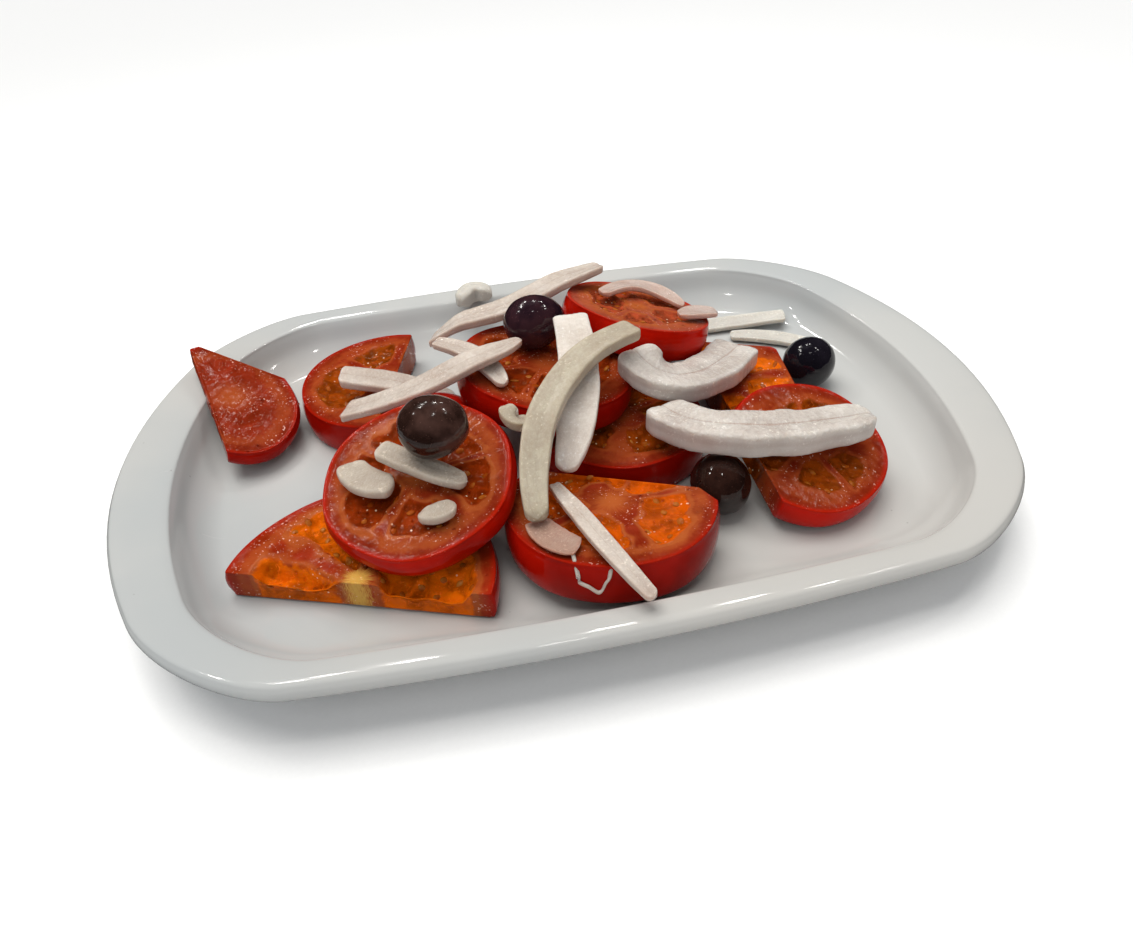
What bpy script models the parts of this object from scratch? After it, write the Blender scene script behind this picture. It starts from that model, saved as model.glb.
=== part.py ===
"""Tomato salad on an oblong plate: sliced tomato, slivers of onion and black olives.

Metres, +Z up. The origin is on the table under the middle of the plate, +X along the plate
towards its right end and +Y towards its far side. Sizes below are in millimetres and are
turned to metres by MM where a mesh is made. Each piece of food is modelled on its own and then
let down on the pile: tomato and olives as stiff pieces, which tilt a little to rest, and onion
as springy strips, which sag between the things they lie on.
"""

import math

import bmesh
import bpy
import numpy as np
from mathutils import Matrix, Vector
from mathutils.bvhtree import BVHTree

MM = 0.001

# ---------------------------------------------------------------- driving sizes, millimetres
PLATE_HALF_LENGTH = 144.4
PLATE_HALF_WIDTH = 97.9
PLATE_HEIGHT = 22.0
LIP_THICKNESS = 6.0
END_FLANGE = 17.4
SIDE_FLANGE = 9.9
FLOOR_TOP = 7.0
FOOT_WIDTH = 4.0
END_BOW = 0.219
SIDE_BOW = 0.065

# where the middle of the salad lies, from the middle of the plate
SALAD_PLACE = (0.0, -2.0)

SLICE_SIDES = 30
OUTLINE_RAYS = 720
WALL_FLESH = 7.0
CORE_SHARE = 0.28
RIB_HALF = 1.6
CHAMBER_EDGE = 2.5
SKIN_BULGE = 0.9

OLIVE_SIDES = 14
OLIVE_ROWS = 8
OLIVE_BLUNTNESS = 0.06

SLIVER_STATIONS = 10
SLIVER_CUP = 0.6

GLAZE_WHITE = (0.78, 0.79, 0.79)
TOMATO_RED = (0.55, 0.06, 0.03)
ONION_WHITE = (0.80, 0.76, 0.70)
OLIVE_BLACK = (0.035, 0.02, 0.022)

# ---------------------------------------------------------------- how pieces come to rest
GAP = 0.3
DROP_HEIGHT = 100.0
TABLE_DEPTH = 50.0
REST_GRID = 1.0
REST_ROUNDS = 5
SEARCH_ROUNDS = 22
SETTLED = 0.004

STRIP_STIFFNESS = 12000.0
STEEPEST = 0.5
SLIGHT_SPRING = 1e-6
SAG_ROUNDS = 200
SAG_ERROR = 1e-6


# ---------------------------------------------------------------- materials
def finish(name, colour, roughness):
    """A plain Principled material with the piece's own colour."""
    material = bpy.data.materials.new(name)
    material.use_nodes = True
    shader = material.node_tree.nodes["Principled BSDF"]
    shader.inputs["Base Color"].default_value = (*colour, 1.0)
    shader.inputs["Roughness"].default_value = roughness
    return material


def add_solid(name, mesh, material, sharp_degrees=35.0):
    """Links a mesh as a named object, smooth but for its sharp edges."""
    mesh.shade_smooth()
    mesh.set_sharp_from_angle(angle=math.radians(sharp_degrees))
    mesh.materials.append(material)
    solid = bpy.data.objects.new(name, mesh)
    bpy.context.scene.collection.objects.link(solid)
    return solid


def skin_rings(rings, cap_first, cap_last):
    """A closed mesh through rings of equal length. A ring of one point closes as a fan."""
    shape = bmesh.new()
    rows = [[shape.verts.new(point) for point in ring] for ring in rings]
    for lower, upper in zip(rows, rows[1:]):
        count = max(len(lower), len(upper))
        for i in range(count):
            j = (i + 1) % count
            if len(lower) == 1:
                shape.faces.new((lower[0], upper[j], upper[i]))
            elif len(upper) == 1:
                shape.faces.new((lower[i], lower[j], upper[0]))
            else:
                shape.faces.new((lower[i], lower[j], upper[j], upper[i]))
    if cap_first:
        shape.faces.new(list(reversed(rows[0])))
    if cap_last:
        shape.faces.new(rows[-1])
    bmesh.ops.recalc_face_normals(shape, faces=shape.faces)
    mesh = bpy.data.meshes.new("solid")
    shape.to_mesh(mesh)
    shape.free()
    return mesh


# ---------------------------------------------------------------- the plate
def plate_ring(half_length, half_width, corner, height):
    """A rounded rectangle whose ends and sides bow outwards, level at one height."""
    corner_steps, end_steps, side_steps = 8, 5, 7
    points = []
    for turn, (sx, sy) in enumerate(((1, 1), (-1, 1), (-1, -1), (1, -1))):
        centre = Vector((sx * (half_length - corner), sy * (half_width - corner)))
        for step in range(corner_steps + 1):
            angle = math.radians(90.0 * (turn + step / corner_steps))
            points.append(centre + corner * Vector((math.cos(angle), math.sin(angle))))
        straight = side_steps if turn % 2 == 0 else end_steps
        last = points[-1]
        flip = (-1, 1) if turn % 2 == 0 else (1, -1)
        first_of_next = Vector((last.x * flip[0], last.y * flip[1]))
        for step in range(1, straight):
            points.append(last.lerp(first_of_next, step / straight))
    ring = []
    for point in points:
        x = point.x * (1.0 - END_BOW * (point.y / PLATE_HALF_WIDTH) ** 2)
        y = point.y * (1.0 - SIDE_BOW * (point.x / PLATE_HALF_LENGTH) ** 2)
        ring.append(Vector((x, y, height)) * MM)
    return ring


def make_plate():
    """A thick glazed dish: foot ring, sloping underside, round lip, flange, hollow and floor."""
    length, width, top = PLATE_HALF_LENGTH, PLATE_HALF_WIDTH, PLATE_HEIGHT
    lip = LIP_THICKNESS
    flange_l, flange_w = length - END_FLANGE, width - SIDE_FLANGE
    # inset along the length, inset along the width, corner radius, height
    section = (
        (length - 88.0, width - 60.0, 18.0, 2.0),
        (length - 54.0, width - 42.0, 22.0, 2.0),
        (length - 53.0, width - 41.0, 22.0, 0.0),
        (length - 53.0 + FOOT_WIDTH, width - 41.0 + FOOT_WIDTH, 24.0, 0.0),
        (length - 46.0, width - 34.0, 26.0, 2.6),
        (length - 26.0, width - 19.0, 29.0, 5.5),
        (length - 15.0, width - 9.0, 30.5, 11.5),
        (length - 3.5, width - 2.6, 31.5, top - lip),
        (length - 0.8, width - 0.7, 31.5, top - 0.78 * lip),
        (length, width, 31.5, top - 0.45 * lip),
        (length - 0.8, width - 0.8, 31.5, top - 0.16 * lip),
        (length - 3.2, width - 2.8, 31.0, top),
        (flange_l + 1.5, flange_w + 1.0, 30.0, top - 0.9),
        (flange_l - 1.0, flange_w - 1.2, 28.0, top - 2.6),
        (flange_l - 3.5, flange_w - 5.0, 27.0, top - 8.0),
        (flange_l - 7.0, flange_w - 10.0, 26.0, FLOOR_TOP + 3.0),
        (flange_l - 11.0, flange_w - 15.0, 24.0, FLOOR_TOP + 0.7),
        (flange_l - 16.0, flange_w - 21.0, 22.0, FLOOR_TOP),
    )
    rings = [plate_ring(*ring) for ring in section]
    mesh = skin_rings(rings, cap_first=True, cap_last=True)
    return add_solid("plate", mesh, finish("plate", GLAZE_WHITE, 0.15))


# ---------------------------------------------------------------- tomato
class Slice:
    """One cut of tomato: a disc round the core, less what knives took off.

    cuts are straight knife cuts, each (direction in degrees, distance from the core): what
    lies further out that way is gone. chambers of seeds, turned by turn degrees, are sunk into
    the face. lobes and seed make the rim uneven, squash narrows it one way, and dome is how
    far the end of a tomato stands up over its cut face.
    """

    def __init__(self, radius, thick, cuts=(), chambers=5, turn=0.0, sunk=1.6, lobes=0.02,
                 seed=1, squash=1.0, dome=0.0):
        self.radius, self.thick, self.cuts = radius, thick, cuts
        self.chambers, self.turn, self.sunk = chambers, math.radians(turn), sunk
        self.lobes, self.seed, self.squash, self.dome = lobes, seed, squash, dome
        self.middle = self.find_middle()

    def find_middle(self):
        """A point well inside what is left, for rays to run out from."""
        middle = np.zeros(2)
        for degrees, distance in self.cuts:
            way = np.array([math.cos(math.radians(degrees)), math.sin(math.radians(degrees))])
            middle += way * min(0.0, (distance - self.radius) / 2.0)
        return middle

    def rim(self, angle):
        """The tomato's own radius at an angle round the core, gently lobed."""
        a = angle + self.seed
        egg = 1.0 / np.hypot(np.cos(angle), np.sin(angle) / self.squash)
        return self.radius * egg * (
            1.0 + self.lobes * (np.cos(2.0 * a) + 0.5 * np.cos(self.chambers * a + 1.0))
        )

    def outline(self, count):
        """count points round the piece, evenly spaced, and how far each is skin and not cut."""
        rays = np.linspace(0.0, 2.0 * math.pi, OUTLINE_RAYS, endpoint=False)
        way = np.stack([np.cos(rays), np.sin(rays)], axis=1)
        reach = np.full(OUTLINE_RAYS, float(self.radius))
        for _ in range(8):
            point = self.middle + way * reach[:, None]
            size = np.hypot(*point.T)
            reach += self.rim(np.arctan2(point[:, 1], point[:, 0])) - size
        skin = np.ones(OUTLINE_RAYS)
        for degrees, distance in self.cuts:
            facing = np.array([math.cos(math.radians(degrees)), math.sin(math.radians(degrees))])
            ahead = way @ facing
            limit = np.where(
                ahead > 1e-3, (distance - self.middle @ facing) / np.maximum(ahead, 1e-3), 1e9
            )
            skin = np.where(limit < reach, 0.0, skin)
            reach = np.minimum(reach, limit)
        point = self.middle + way * reach[:, None]
        step = np.hypot(*(np.roll(point, -1, axis=0) - point).T)
        along = np.concatenate([[0.0], np.cumsum(step)])
        wanted = np.linspace(0.0, along[-1], count, endpoint=False)
        index = np.clip(np.searchsorted(along, wanted, side="right") - 1, 0, OUTLINE_RAYS - 1)
        return point[index], skin[index]

    def chamber(self, x, y):
        """1 inside a seed chamber, 0 in the flesh, with soft edges."""
        size, angle = np.hypot(x, y), np.arctan2(y, x)
        outer = self.rim(angle) - WALL_FLESH
        core = CORE_SHARE * self.radius
        between = np.cos(self.chambers * (angle - self.turn))
        rib = size * (0.5 - 0.5 * between) - RIB_HALF
        depth = np.minimum(np.minimum(outer - size, size - core), rib)
        return np.clip(depth / CHAMBER_EDGE, 0.0, 1.0)

    def rings(self, count):
        """Rings of points from the middle of the top, over the side, to the bottom."""
        edge, skin = self.outline(count)
        half = self.thick / 2.0
        rings = [[(*self.middle, half + self.dome - self.sunk * self.chamber(*self.middle))]]
        for share in (0.32, 0.58, 0.8):
            inner = self.middle + (edge - self.middle) * share
            top = half - self.sunk * self.chamber(inner[:, 0], inner[:, 1])
            top = top + self.dome * math.sqrt(1.0 - share**4)
            rings.append(list(zip(inner[:, 0], inner[:, 1], top)))
        out = edge - self.middle
        out /= np.hypot(*out.T)[:, None]
        for level in (1.0, 0.35, -0.35, -1.0):
            bulge = SKIN_BULGE * (1.0 - level * level)
            row = edge + out * (bulge * skin)[:, None]
            rings.append([(x, y, half * level) for x, y in row])
        rings.append([(*self.middle, -half)])
        return rings


def make_slice(name, cut):
    """The solid of one cut of tomato, flat on its own middle."""
    rings = [[Vector(point) * MM for point in ring] for ring in cut.rings(SLICE_SIDES)]
    return add_solid(name, skin_rings(rings, False, False), finish(name, TOMATO_RED, 0.25))


# ---------------------------------------------------------------- onion
class Sliver:
    """One strip of onion along a curve in plan, from start past bend to end.

    width lies across the strip and thick stands up. ends are the share of the width left at
    each end, cup hollows its upper and lower faces, groove parts two layers of the bulb, and
    stiff is how much stiffer it is than a thin strip. lifts are the heights at which its
    stations come to lie on the pile.
    """

    SECTION = ((-1.0, -0.4), (-0.8, -1.0), (0.0, -1.0), (0.8, -1.0), (1.0, -0.4),
               (1.0, 0.5), (0.8, 1.0), (0.0, 1.0), (-0.8, 1.0), (-1.0, 0.5))

    def __init__(self, start, bend, end, width, thick, ends=(0.6, 0.4), cup=SLIVER_CUP,
                 groove=0.0, stiff=1.0):
        self.start, self.bend, self.end = (np.add(point, SALAD_PLACE) for point in (start, bend, end))
        self.width, self.thick, self.ends = width, thick, ends
        self.cup, self.groove, self.stiff = cup, groove, stiff
        self.lifts = np.zeros(SLIVER_STATIONS)

    def centre(self, share):
        """The point at a share of the strip's length, in plan, with its heading."""
        first, second = (1 - share) ** 2, 2 * share * (1 - share)
        point = first * self.start + second * self.bend + share**2 * self.end
        heading = 2 * (1 - share) * (self.bend - self.start) + 2 * share * (self.end - self.bend)
        return point, heading / np.hypot(*heading)

    def length(self):
        """How long the curve is in plan."""
        points = np.array([self.centre(share)[0] for share in np.linspace(0, 1, 41)])
        return np.hypot(*np.diff(points, axis=0).T).sum()

    def fullness(self, share):
        """The strip's width at a share of its length, against its widest."""
        first, last = self.ends
        swell = max(0.0, math.sin(math.pi * share)) ** 0.6
        return (first * (1 - share) + last * share) * (1 - swell) + swell

    def rings(self):
        """A ring of points at each station along the strip."""
        rings = []
        for number, lift in enumerate(self.lifts):
            share = number / (SLIVER_STATIONS - 1)
            point, heading = self.centre(share)
            across = np.array([-heading[1], heading[0]])
            full = self.fullness(share)
            ring = []
            for p, q in self.SECTION:
                wide = p * full * self.width / 2
                tall = q * self.thick / 2 * (0.55 + 0.45 * full) - self.cup * (1 - p * p)
                if q == 1.0 and p == 0.0:
                    tall -= self.groove
                ring.append((*(point + across * wide), lift + tall))
            rings.append(ring)
        return rings

    def needs(self, px, py, need):
        """The height each station needs, from what stands under the strip near it."""
        shares = np.linspace(0.0, 1.0, 8 * SLIVER_STATIONS)
        line = np.array([self.centre(share)[0] for share in shares])
        far = np.hypot(px[:, None] - line[:, 0], py[:, None] - line[:, 1])
        station = shares[far.argmin(axis=1)] * (SLIVER_STATIONS - 1)
        return np.array([
            need[np.abs(station - number) < 1.0].max() for number in range(SLIVER_STATIONS)
        ])


def within_slope(floor, most):
    """The floor, raised where it would fall away by more than most from station to station."""
    apart = np.abs(np.subtract.outer(np.arange(len(floor)), np.arange(len(floor))))
    return (floor - most * apart).max(axis=1)


def sagging(floor, step, stiffness):
    """Heights at which a springy strip lies on a floor given at evenly spaced stations.

    The strip bends under its own weight and never sinks below the floor: stations are let go
    of the floor, or come to rest on it, one after another until every one is in balance.
    """
    count = len(floor)
    bending = np.diff(np.eye(count), n=2, axis=0)
    springs = bending.T @ bending * stiffness / step**3 + np.eye(count) * SLIGHT_SPRING
    lies, resting = floor.copy(), np.ones(count, bool)
    for _ in range(SAG_ROUNDS):
        target, free = floor.copy(), ~resting
        if free.any():
            push = -step - springs[np.ix_(free, resting)] @ floor[resting]
            target[free] = np.linalg.solve(springs[np.ix_(free, free)], push)
        way = target - lies
        if np.abs(way).max() < SAG_ERROR:
            press = np.where(resting, springs @ lies + step, 0.0)
            if press.min() > -SAG_ERROR:
                break
            resting[press.argmin()] = False
            continue
        shares = np.full(count, np.inf)
        falling = free & (way < -SAG_ERROR)
        shares[falling] = (floor[falling] - lies[falling]) / way[falling]
        first = shares.argmin()
        lies = lies + way * min(1.0, shares[first])
        if shares[first] < 1.0:
            resting[first] = True
    return np.maximum(lies, floor)


def sliver_mesh(strip):
    """The closed mesh of a strip, where it lies."""
    return skin_rings([[Vector(p) * MM for p in ring] for ring in strip.rings()], True, True)


def drape(name, strip, pile):
    """Lays a strip of onion on the pile: it bends as a springy strip and rests on the tops."""
    material = finish(name, ONION_WHITE, 0.35)
    solid = add_solid(name, sliver_mesh(strip), material)
    bpy.context.view_layer.update()
    px, py, need, _ = gap_field(solid, tree_of(pile), REST_GRID * MM)
    step = strip.length() / (SLIVER_STATIONS - 1)
    floor = within_slope(strip.needs(px / MM, py / MM, need / MM) + GAP, step * STEEPEST)
    strip.lifts = sagging(floor, step, STRIP_STIFFNESS * strip.stiff)
    flat = solid.data
    solid.data = sliver_mesh(strip)
    solid.data.shade_smooth()
    solid.data.set_sharp_from_angle(angle=math.radians(35.0))
    solid.data.materials.append(material)
    bpy.data.meshes.remove(flat)
    bpy.context.view_layer.update()
    pile.append(solid)


# ---------------------------------------------------------------- olives
def make_olive(name, length, girth):
    """A whole olive, a little blunter at its stalk end, lying along X."""
    rings = []
    for row in range(OLIVE_ROWS + 1):
        angle = math.pi * row / OLIVE_ROWS
        x = -math.cos(angle) * length / 2
        radius = math.sin(angle) * girth / 2 * (1.0 - OLIVE_BLUNTNESS * math.cos(angle))
        if row in (0, OLIVE_ROWS):
            rings.append([Vector((x, 0.0, 0.0)) * MM])
            continue
        rings.append([
            Vector((x, radius * math.cos(a), radius * math.sin(a))) * MM
            for a in np.linspace(0.0, 2 * math.pi, OLIVE_SIDES, endpoint=False)
        ])
    return add_solid(name, skin_rings(rings, False, False), finish(name, OLIVE_BLACK, 0.2))


# ---------------------------------------------------------------- letting down on the pile
def triangles(solid):
    """World-space corners and triangles of an object."""
    mesh = solid.data
    mesh.calc_loop_triangles()
    corners = [solid.matrix_world @ v.co for v in mesh.vertices]
    return corners, [tuple(t.vertices) for t in mesh.loop_triangles]


def tree_of(solids):
    """One search tree over all of these solids."""
    corners, faces = [], []
    for solid in solids:
        own_corners, own_faces = triangles(solid)
        faces += [tuple(i + len(corners) for i in face) for face in own_faces]
        corners += own_corners
    return BVHTree.FromPolygons(corners, faces)


def heights(tree, xs, ys, upwards):
    """Height of the first surface met at each grid point, looking up or down."""
    start = (-TABLE_DEPTH if upwards else 2 * DROP_HEIGHT) * MM
    way = Vector((0, 0, 1 if upwards else -1))
    found = np.full((len(xs), len(ys)), np.nan)
    for i, x in enumerate(xs):
        for j, y in enumerate(ys):
            hit = tree.ray_cast(Vector((x, y, start)), way)[0]
            if hit is not None:
                found[i, j] = hit.z
    return found


def spread_up(field):
    """Each height raised to the highest of its neighbours, so that steep sides stay clear."""
    padded = np.pad(field, 1, mode="edge")
    shifted = [
        padded[1 + i:padded.shape[0] - 1 + i, 1 + j:padded.shape[1] - 1 + j]
        for i in (-1, 0, 1) for j in (-1, 0, 1)
    ]
    return np.fmax.reduce(np.array(shifted))


def lowest_tilt(need, dx, dy, low, high):
    """The slopes along X and Y, between two bounds, at which a piece's middle lies lowest."""
    def height(a, b):
        return (need - a * dx - b * dy).max()

    def search(cost, first, last):
        for _ in range(SEARCH_ROUNDS):
            third = (last - first) / 3
            if cost(first + third) < cost(last - third):
                last -= third
            else:
                first += third
        return (first + last) / 2

    def best_b(a):
        return search(lambda b: height(a, b), low[1], high[1])

    a = search(lambda a: height(a, best_b(a)), low[0], high[0])
    return a, best_b(a)


def gap_field(solid, pile, grid):
    """Grid points under the solid, how far the pile stands above its underside, its middle."""
    own = tree_of([solid])
    corners = np.array([solid.matrix_world @ v.co for v in solid.data.vertices])
    low, high = corners.min(axis=0) - grid, corners.max(axis=0) + grid
    xs, ys = np.arange(low[0], high[0] + grid, grid), np.arange(low[1], high[1] + grid, grid)
    under = heights(own, xs, ys, upwards=True)
    below = spread_up(heights(pile, xs, ys, upwards=False))
    where = ~np.isnan(under) & ~np.isnan(below)
    px, py = np.meshgrid(xs, ys, indexing="ij")
    return px[where], py[where], (below - under)[where], corners.mean(axis=0)


def lay(solid, at, heading, pile, lean=(0.0, 0.0), play=0.0):
    """Turns a piece to its heading, leans it (degrees about X and Y) and lets it down.

    play is how many degrees it may tilt from that lean to come to rest on three points.
    """
    turn = (
        Matrix.Rotation(math.radians(lean[0]), 4, "X")
        @ Matrix.Rotation(math.radians(lean[1]), 4, "Y")
        @ Matrix.Rotation(math.radians(heading), 4, "Z")
    )
    at = np.add(at, SALAD_PLACE)
    place = Matrix.Translation(Vector((at[0], at[1], DROP_HEIGHT)) * MM)
    tree, limit, slopes = tree_of(pile), math.tan(math.radians(play)), np.zeros(2)
    solid.matrix_world = place @ turn
    bpy.context.view_layer.update()
    for _ in range(REST_ROUNDS if play else 0):
        px, py, need, middle = gap_field(solid, tree, REST_GRID * MM)
        more = lowest_tilt(need, px - middle[0], py - middle[1], -limit - slopes, limit - slopes)
        slopes += more
        tilt = (
            Matrix.Rotation(math.atan(slopes[1]), 4, "X")
            @ Matrix.Rotation(-math.atan(slopes[0]), 4, "Y")
        )
        solid.matrix_world = place @ tilt @ turn
        bpy.context.view_layer.update()
        if max(abs(more[0]), abs(more[1])) < SETTLED:
            break
    need = gap_field(solid, tree, REST_GRID * MM)[2]
    lift = Vector((0, 0, need.max() + GAP * MM))
    solid.matrix_world = Matrix.Translation(lift) @ solid.matrix_world
    bpy.context.view_layer.update()
    pile.append(solid)


# ---------------------------------------------------------------- the salad, bottom to top
TOMATO = (
    # name, place of the core in plan, heading, lean, play, cut
    ("tomato_half_front_left", (-71, -55), -21, (0, 0), 2,
     Slice(38.5, 9.5, cuts=((-90, 2.0),), chambers=6, turn=10, sunk=2.5, lobes=0.012, seed=2)),
    ("tomato_thick_front", (3, -48.5), -27, (0, 0), 7,
     Slice(30.6, 13, cuts=((90, 11.5), (47, 25.0)), chambers=5, turn=18, lobes=0.012, seed=3)),
    ("tomato_thick_middle", (17, -4.5), 20, (0, 0), 0,
     Slice(28.5, 13, chambers=6, seed=4)),
    ("tomato_half_back_left", (-57.5, 41), 0, (0, 0), 4,
     Slice(30.5, 12, cuts=((-16, 3.0),), chambers=5, lobes=0.01, seed=6)),
    ("tomato_end_middle", (-44, 3), 0, (0, 0), 0,
     Slice(19.5, 8, chambers=5, sunk=0.0, seed=8, dome=13)),
    ("tomato_piece_back_right", (60, 8), 0, (0, 0), 0,
     Slice(29, 12, cuts=((180, 5.0), (-8, 23.5), (66, 24.0)), chambers=5, seed=5)),
    ("tomato_slab_left", (-111.5, 38), 118, (12, 13), 0,
     Slice(28, 6, cuts=((77.7, 7.8), (-56.7, 16.6)), chambers=5, sunk=0.0, seed=7, squash=0.72)),
    ("tomato_slice_right", (68.5, -38), 0, (15, 7), 6,
     Slice(25.0, 9, cuts=((186, 18.5),), chambers=5, seed=9)),
    ("tomato_slice_middle", (-4, 12), 0, (0, 12), 6, Slice(29, 10, chambers=6, seed=10)),
    ("tomato_slice_front", (-50, -32), 0, (17, -10), 6, Slice(28.5, 8, chambers=6, seed=11)),
    ("tomato_slice_back_under", (35, 52), 0, (0, 0), 5, Slice(21, 9, chambers=5, seed=12)),
    ("tomato_slice_back", (34, 33.5), 0, (-12, 9), 6, Slice(25.5, 11, chambers=5, seed=13)),
)

ONION_LOW = (
    ("onion_far_wall", Sliver((58, 60), (84, 63), (106, 56), 9, 2.5, ends=(0.6, 0.9))),
    ("onion_far_floor", Sliver((80, 51), (100, 47), (112, 30), 8, 2.5, ends=(0.6, 0.5))),
    ("onion_tip_back", Sliver((-25, 80), (-20, 94), (-12, 83), 7, 7, ends=(0.7, 0.2), cup=0.0)),
    ("onion_on_slice_left", Sliver((-69, -25), (-67, -36), (-57, -38), 10, 4.5, ends=(0.8, 0.7))),
    ("onion_on_slice_middle", Sliver((-60, -28), (-49, -36), (-37, -42), 8, 4, ends=(0.9, 0.5))),
    ("onion_on_slice_chip", Sliver((-51, -48), (-47, -52), (-41, -50), 7, 4)),
    ("onion_thin_film", Sliver((-20, -54), (-19, -63), (-11, -68), 9, 1.2, ends=(0.7, 0.6))),
    ("onion_long_front", Sliver((-12, -39), (-8, -67), (3, -90), 5.5, 3, ends=(0.5, 0.6))),
)

OLIVES = (
    ("olive_back", (-4.3, 24), 10, 21.9, 18.5),
    ("olive_front_left", (-43.6, -32), 0, 20.4, 18.2),
    ("olive_front_right", (39.2, -42.2), 80, 21.0, 18.8),
    ("olive_back_right", (95.5, 13.5), 30, 20.0, 18.8),
)

ONION_HIGH = (
    ("onion_long_back", Sliver((-40, 42), (-18, 30), (27, 55), 9, 4, ends=(0.6, 0.4), stiff=0.4)),
    ("onion_upper_left", Sliver((-73, 33), (-46, 28), (-33, 31), 9.5, 4, ends=(0.9, 0.9))),
    ("onion_curl_left", Sliver((-39, 26), (-23, 15), (-20, -4), 6.5, 3)),
    ("onion_lower_left", Sliver((-72, 13), (-36, -4), (-11, 12), 9, 3.5, ends=(0.9, 0.15))),
    ("onion_pink_back", Sliver((23, 37), (44, 57), (52, 33), 7, 2.5, ends=(0.7, 0.3))),
    ("onion_pink_right", Sliver((47, 22), (55, 27), (63, 27), 8, 2.5, ends=(0.3, 0.4))),
    ("onion_small_cup", Sliver((-22, -19), (-20, -28), (-14, -18), 6.5, 4, ends=(0.6, 0.5))),
    ("onion_petal_centre", Sliver((6, 15.5), (5, -18), (-8, -37), 13, 3.5, ends=(0.9, 0.4))),
    ("onion_cup_right", Sliver((24, 4), (31, -23), (69, 18), 17, 8, ends=(0.6, 0.8), groove=1.0, stiff=8)),
    ("onion_crescent_right",
     Sliver((27, -17), (33, -50), (89, -39.5), 14, 9, ends=(0.7, 0.4), groove=1.0, stiff=8)),
    ("onion_hook", Sliver((25, 3), (-18, -17), (-20, -57), 9.5, 5, ends=(0.9, 0.6))),
)


def clear_scene():
    """Removes what Blender starts with."""
    for thing in list(bpy.data.objects):
        bpy.data.objects.remove(thing)


def build():
    """The plate, then every piece of food from the lowest to the topmost."""
    clear_scene()
    pile = [make_plate()]
    for name, at, heading, lean, play, cut in TOMATO:
        lay(make_slice(name, cut), at, heading, pile, lean, play)
    for name, strip in ONION_LOW:
        drape(name, strip, pile)
    for name, at, heading, length, girth in OLIVES:
        lay(make_olive(name, length, girth), at, heading, pile)
    for name, strip in ONION_HIGH:
        drape(name, strip, pile)


build()
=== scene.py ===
import math

import bpy
import numpy as np
from mathutils import Matrix, Vector


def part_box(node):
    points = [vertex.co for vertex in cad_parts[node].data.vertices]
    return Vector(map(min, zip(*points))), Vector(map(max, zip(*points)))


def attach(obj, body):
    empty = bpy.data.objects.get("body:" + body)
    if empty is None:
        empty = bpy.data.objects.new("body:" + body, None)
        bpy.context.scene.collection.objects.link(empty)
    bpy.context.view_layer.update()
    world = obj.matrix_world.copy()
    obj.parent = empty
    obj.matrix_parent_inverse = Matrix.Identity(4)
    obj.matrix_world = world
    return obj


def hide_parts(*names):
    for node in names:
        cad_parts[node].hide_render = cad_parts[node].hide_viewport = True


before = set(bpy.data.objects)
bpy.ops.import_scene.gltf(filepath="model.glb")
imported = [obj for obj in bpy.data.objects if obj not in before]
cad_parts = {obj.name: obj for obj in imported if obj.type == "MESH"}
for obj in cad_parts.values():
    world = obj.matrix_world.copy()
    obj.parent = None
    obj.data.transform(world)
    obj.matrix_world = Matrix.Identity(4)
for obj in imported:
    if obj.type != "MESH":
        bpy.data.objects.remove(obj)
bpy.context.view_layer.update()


# ======================================================================== the plate
# An oblong serving plate of thick stoneware, pressed in a mould, with a round lip, a narrow
# flange and a shallow hollow. It is dipped in an off-white glaze, glossy and a little wavy.
# Sizes and places are in millimetres, which MM turns into metres.
MM = 0.001
PLATE_HALF_LENGTH = 144.4
PLATE_HALF_WIDTH = 97.9
PLATE_HEIGHT = 22.0
LIP = 6.0
END_FLANGE = 17.4
SIDE_FLANGE = 9.9
FLOOR_TOP = 7.0
FOOT_WIDTH = 4.0
END_BOW = 0.219
SIDE_BOW = 0.065
PLATE_CORNER_STEPS = 26
PLATE_END_STEPS = 20
PLATE_SIDE_STEPS = 30
PLATE_RINGS_BETWEEN = 5


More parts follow.
